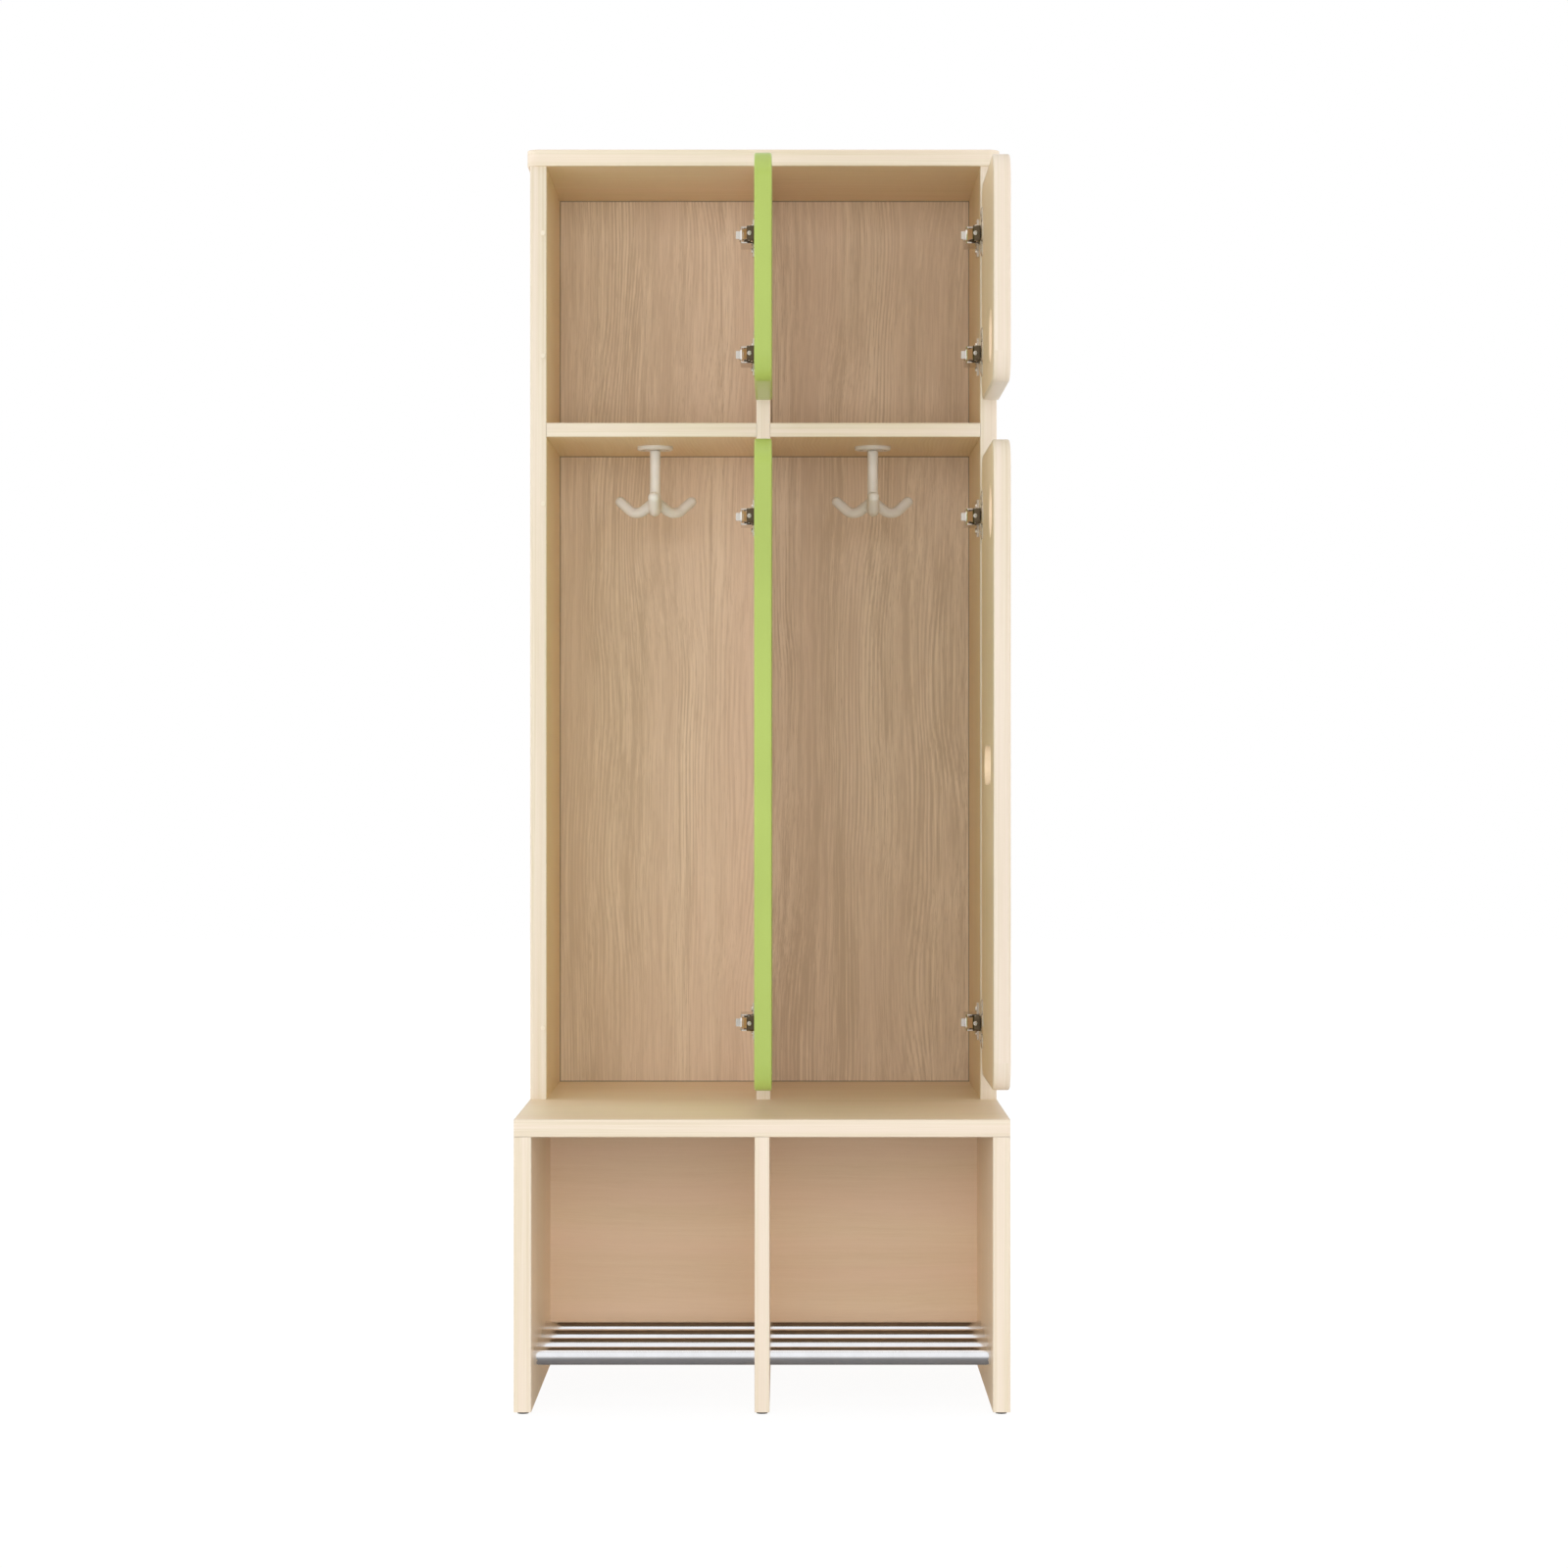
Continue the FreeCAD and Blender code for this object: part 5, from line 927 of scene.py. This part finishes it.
class CLOAKROOM_OT_hooks(bpy.types.Operator):
    """Mould each hook in one piece: three arms that flow into the stem"""

    bl_idname = "cloakroom.hooks"
    bl_label = "Mould Hooks"

    def execute(self, context):
        for side in HOOKS:
            node = "hook_" + side
            axis = sum(lows_and_highs("hook_axle_" + side)) / 2
            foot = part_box(node)[1][2] - HOOK_STEM[-1, 1]
            surface = Surface()
            for angle, fullness in HOOK_ARMS:
                surface.add_grid(hook_arm(angle, axis, foot, fullness), close_columns=True, cap=True)
            surface.add_grid(turned(HOOK_STEM + [0.0, foot], axis), close_columns=True, cap=True)
            rough = bpy.data.objects.new("rough_" + node, surface.mesh("rough_" + node))
            context.scene.collection.objects.link(rough)
            remesh = rough.modifiers.new("blend", "REMESH")
            remesh.mode = "VOXEL"
            remesh.voxel_size = context.scene.cloakroom_sizes.hook_voxel
            smooth = rough.modifiers.new("smooth", "SMOOTH")
            smooth.factor = 0.5
            smooth.iterations = 9
            shaped = rough.evaluated_get(context.evaluated_depsgraph_get())
            mesh = bpy.data.meshes.new_from_object(shaped)
            mesh.name = "moulded_" + node
            bpy.data.objects.remove(rough)
            mesh.materials.clear()
            piece = put("moulded_" + node, mesh, side + "_hook", "hook", 180.0)
            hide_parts(node)
        return {"FINISHED"}


WHITE, DIM_CEILING, DIM_FLOOR = (1.0, 1.0, 1.0), (0.16, 0.115, 0.075), (0.07, 0.07, 0.075)

# Lamps: name, place, target, width and height, watts and whether mirrors show it
LAMPS = (
    ("front_softbox", (-0.35, -5.6, 1.25), (0.0, 0.0, 0.8), (9.5, 2.5), 200.0, False),
    ("left_softbox", (-5.0, 0.6, 1.6), (0.0, 0.0, 0.8), (3.0, 3.0), 90.0, False),
    ("right_softbox", (5.0, 0.6, 1.6), (0.0, 0.0, 0.8), (3.0, 3.0), 90.0, False),
    ("rear_softbox", (0.0, 5.2, 1.6), (0.0, 0.0, 0.8), (3.0, 3.0), 110.0, False),
    ("top_softbox", (0.0, -0.6, 4.6), (0.0, -0.2, 0.0), (4.0, 4.0), 55.0, True))


class CLOAKROOM_OT_stage(bpy.types.Operator):
    """Set the pale floor, the soft lamps, the white surroundings and the camera"""

    bl_idname = "cloakroom.stage"
    bl_label = "Set the Stage"

    def execute(self, context):
        scene = context.scene
        scene.view_settings.view_transform = "Standard"
        self.floor(scene)
        self.surroundings(scene)
        for lamp in LAMPS:
            self.lamp(scene, *lamp)
        self.camera(scene)
        return {"FINISHED"}

    def floor(self, scene):
        """The floor: a pale surface mixed with white glow, by the kind of ray that meets it.

        What is seen is nearly all glow. Diffuse rays meet more glow near the unit, painted light that lights
        the bench from below, and mirrors see the floor there as dim, a painted shadow.
        """
        mesh = bpy.data.meshes.new("floor")
        reach = 14.0
        corners = [(reach * x, reach * y, 0.0) for x, y in ((-1, -1), (1, -1), (1, 1), (-1, 1))]
        mesh.from_pydata(corners, [], [(0, 1, 2, 3)])
        floor = bpy.data.objects.new("floor", mesh)
        scene.collection.objects.link(floor)
        finish = Finish("pale_floor")
        finish.surface(Base_Color=(0.88, 0.88, 0.88), Roughness=0.9, Specular_IOR_Level=0.1)
        place = finish.place()
        distance = finish.node("ShaderNodeVectorMath", {"operation": "LENGTH"}, {0: place}, output=1)
        far = finish.between(distance, 2.2, 4.8)
        depth = finish.part(place, "Y")
        # the floor below the unit, fading out before the bench and behind the back
        near = finish.between(depth, -0.62, -0.34) * finish.between(depth, 0.4, 0.8, 1.0, 0.0)
        seen, mirrored = finish.ray("Camera"), finish.ray("Glossy")
        share = seen * (far * 0.12 + 0.88) + mirrored * 0.1 + finish.ray("Transmission") * 0.1
        # painted light: near the unit the floor glows for diffuse rays and lights the bench like a lamp
        share = share + finish.ray("Diffuse") * near * 0.4
        glow = finish.node("ShaderNodeEmission", None, {"Color": WHITE, "Strength": 1.06})
        dim = finish.node("ShaderNodeEmission", None, {"Color": DIM_FLOOR, "Strength": 1.0})
        pale = finish.mix_shader(share, Value(finish, finish.shader.outputs[0]), glow)
        # painted shadow: near the unit, mirrors see a dim colour in place of the floor
        finish.feed(finish.output.inputs["Surface"], finish.mix_shader(near * mirrored * 0.72, pale, dim))
        mesh.materials.append(finish.material)

    def surroundings(self, scene):
        """White to the eye and in mirrors, where it has a dim ceiling, and soft for the light."""
        scene.world = bpy.data.worlds.new("white_surroundings")
        around = Graph(scene.world)
        seen, mirrored, passed = (around.ray(kind) for kind in ("Camera", "Glossy", "Transmission"))
        # a place in the world's tree is a direction, and the ceiling is what lies nearly overhead
        ceiling = around.between(around.part(around.place("Generated"), "Z"), 0.80, 0.90) * mirrored
        colour = around.mix(ceiling, WHITE, DIM_CEILING)
        soft = around.node("ShaderNodeBackground", None, {"Color": WHITE, "Strength": 0.38})
        white = around.node("ShaderNodeBackground", None, {"Color": colour, "Strength": 1.0})
        mixed = around.mix_shader(seen + mirrored + passed, soft, white)
        around.node("ShaderNodeOutputWorld", None, {"Surface": mixed}, output=None)

    def lamp(self, scene, name, place, target, size, power, mirrored):
        data = bpy.data.lights.new(name, "AREA")
        data.shape = "RECTANGLE"
        data.size, data.size_y = size
        data.energy = power
        lamp = bpy.data.objects.new(name, data)
        lamp.location = place
        lamp.visible_camera = False
        lamp.visible_glossy = mirrored
        lamp.rotation_euler = (Vector(target) - Vector(place)).to_track_quat("-Z", "Y").to_euler()
        scene.collection.objects.link(lamp)

    def camera(self, scene):
        data = bpy.data.cameras.new("camera")
        data.sensor_fit = "HORIZONTAL"
        data.sensor_width = 36.0
        data.lens = 89.25
        data.clip_end = 100.0
        camera = bpy.data.objects.new("camera", data)
        camera.location = (0.0265, -5.0, 0.762)
        camera.rotation_euler = (np.radians(90), 0.0, 0.0)
        scene.collection.objects.link(camera)
        scene.camera = camera


OPERATORS = (CLOAKROOM_OT_finishes, CLOAKROOM_OT_edge_bands, CLOAKROOM_OT_door_bands,
             CLOAKROOM_OT_hinge_details, CLOAKROOM_OT_hooks, CLOAKROOM_OT_stage)
CLASSES = (CloakroomSizes, CloakroomColours, *OPERATORS, CLOAKROOM_PT_panel)


def register():
    for item in CLASSES:
        bpy.utils.register_class(item)
    bpy.types.Scene.cloakroom_sizes = bpy.props.PointerProperty(type=CloakroomSizes)
    bpy.types.Scene.cloakroom_colours = bpy.props.PointerProperty(type=CloakroomColours)


def unregister():
    del bpy.types.Scene.cloakroom_colours
    del bpy.types.Scene.cloakroom_sizes
    for item in reversed(CLASSES):
        bpy.utils.unregister_class(item)


def main():
    register()
    bpy.ops.cloakroom.finishes()
    bpy.ops.cloakroom.edge_bands()
    bpy.ops.cloakroom.door_bands()
    bpy.ops.cloakroom.hinge_details()
    bpy.ops.cloakroom.hooks()
    bpy.ops.cloakroom.stage()


if __name__ == "__main__":
    main()
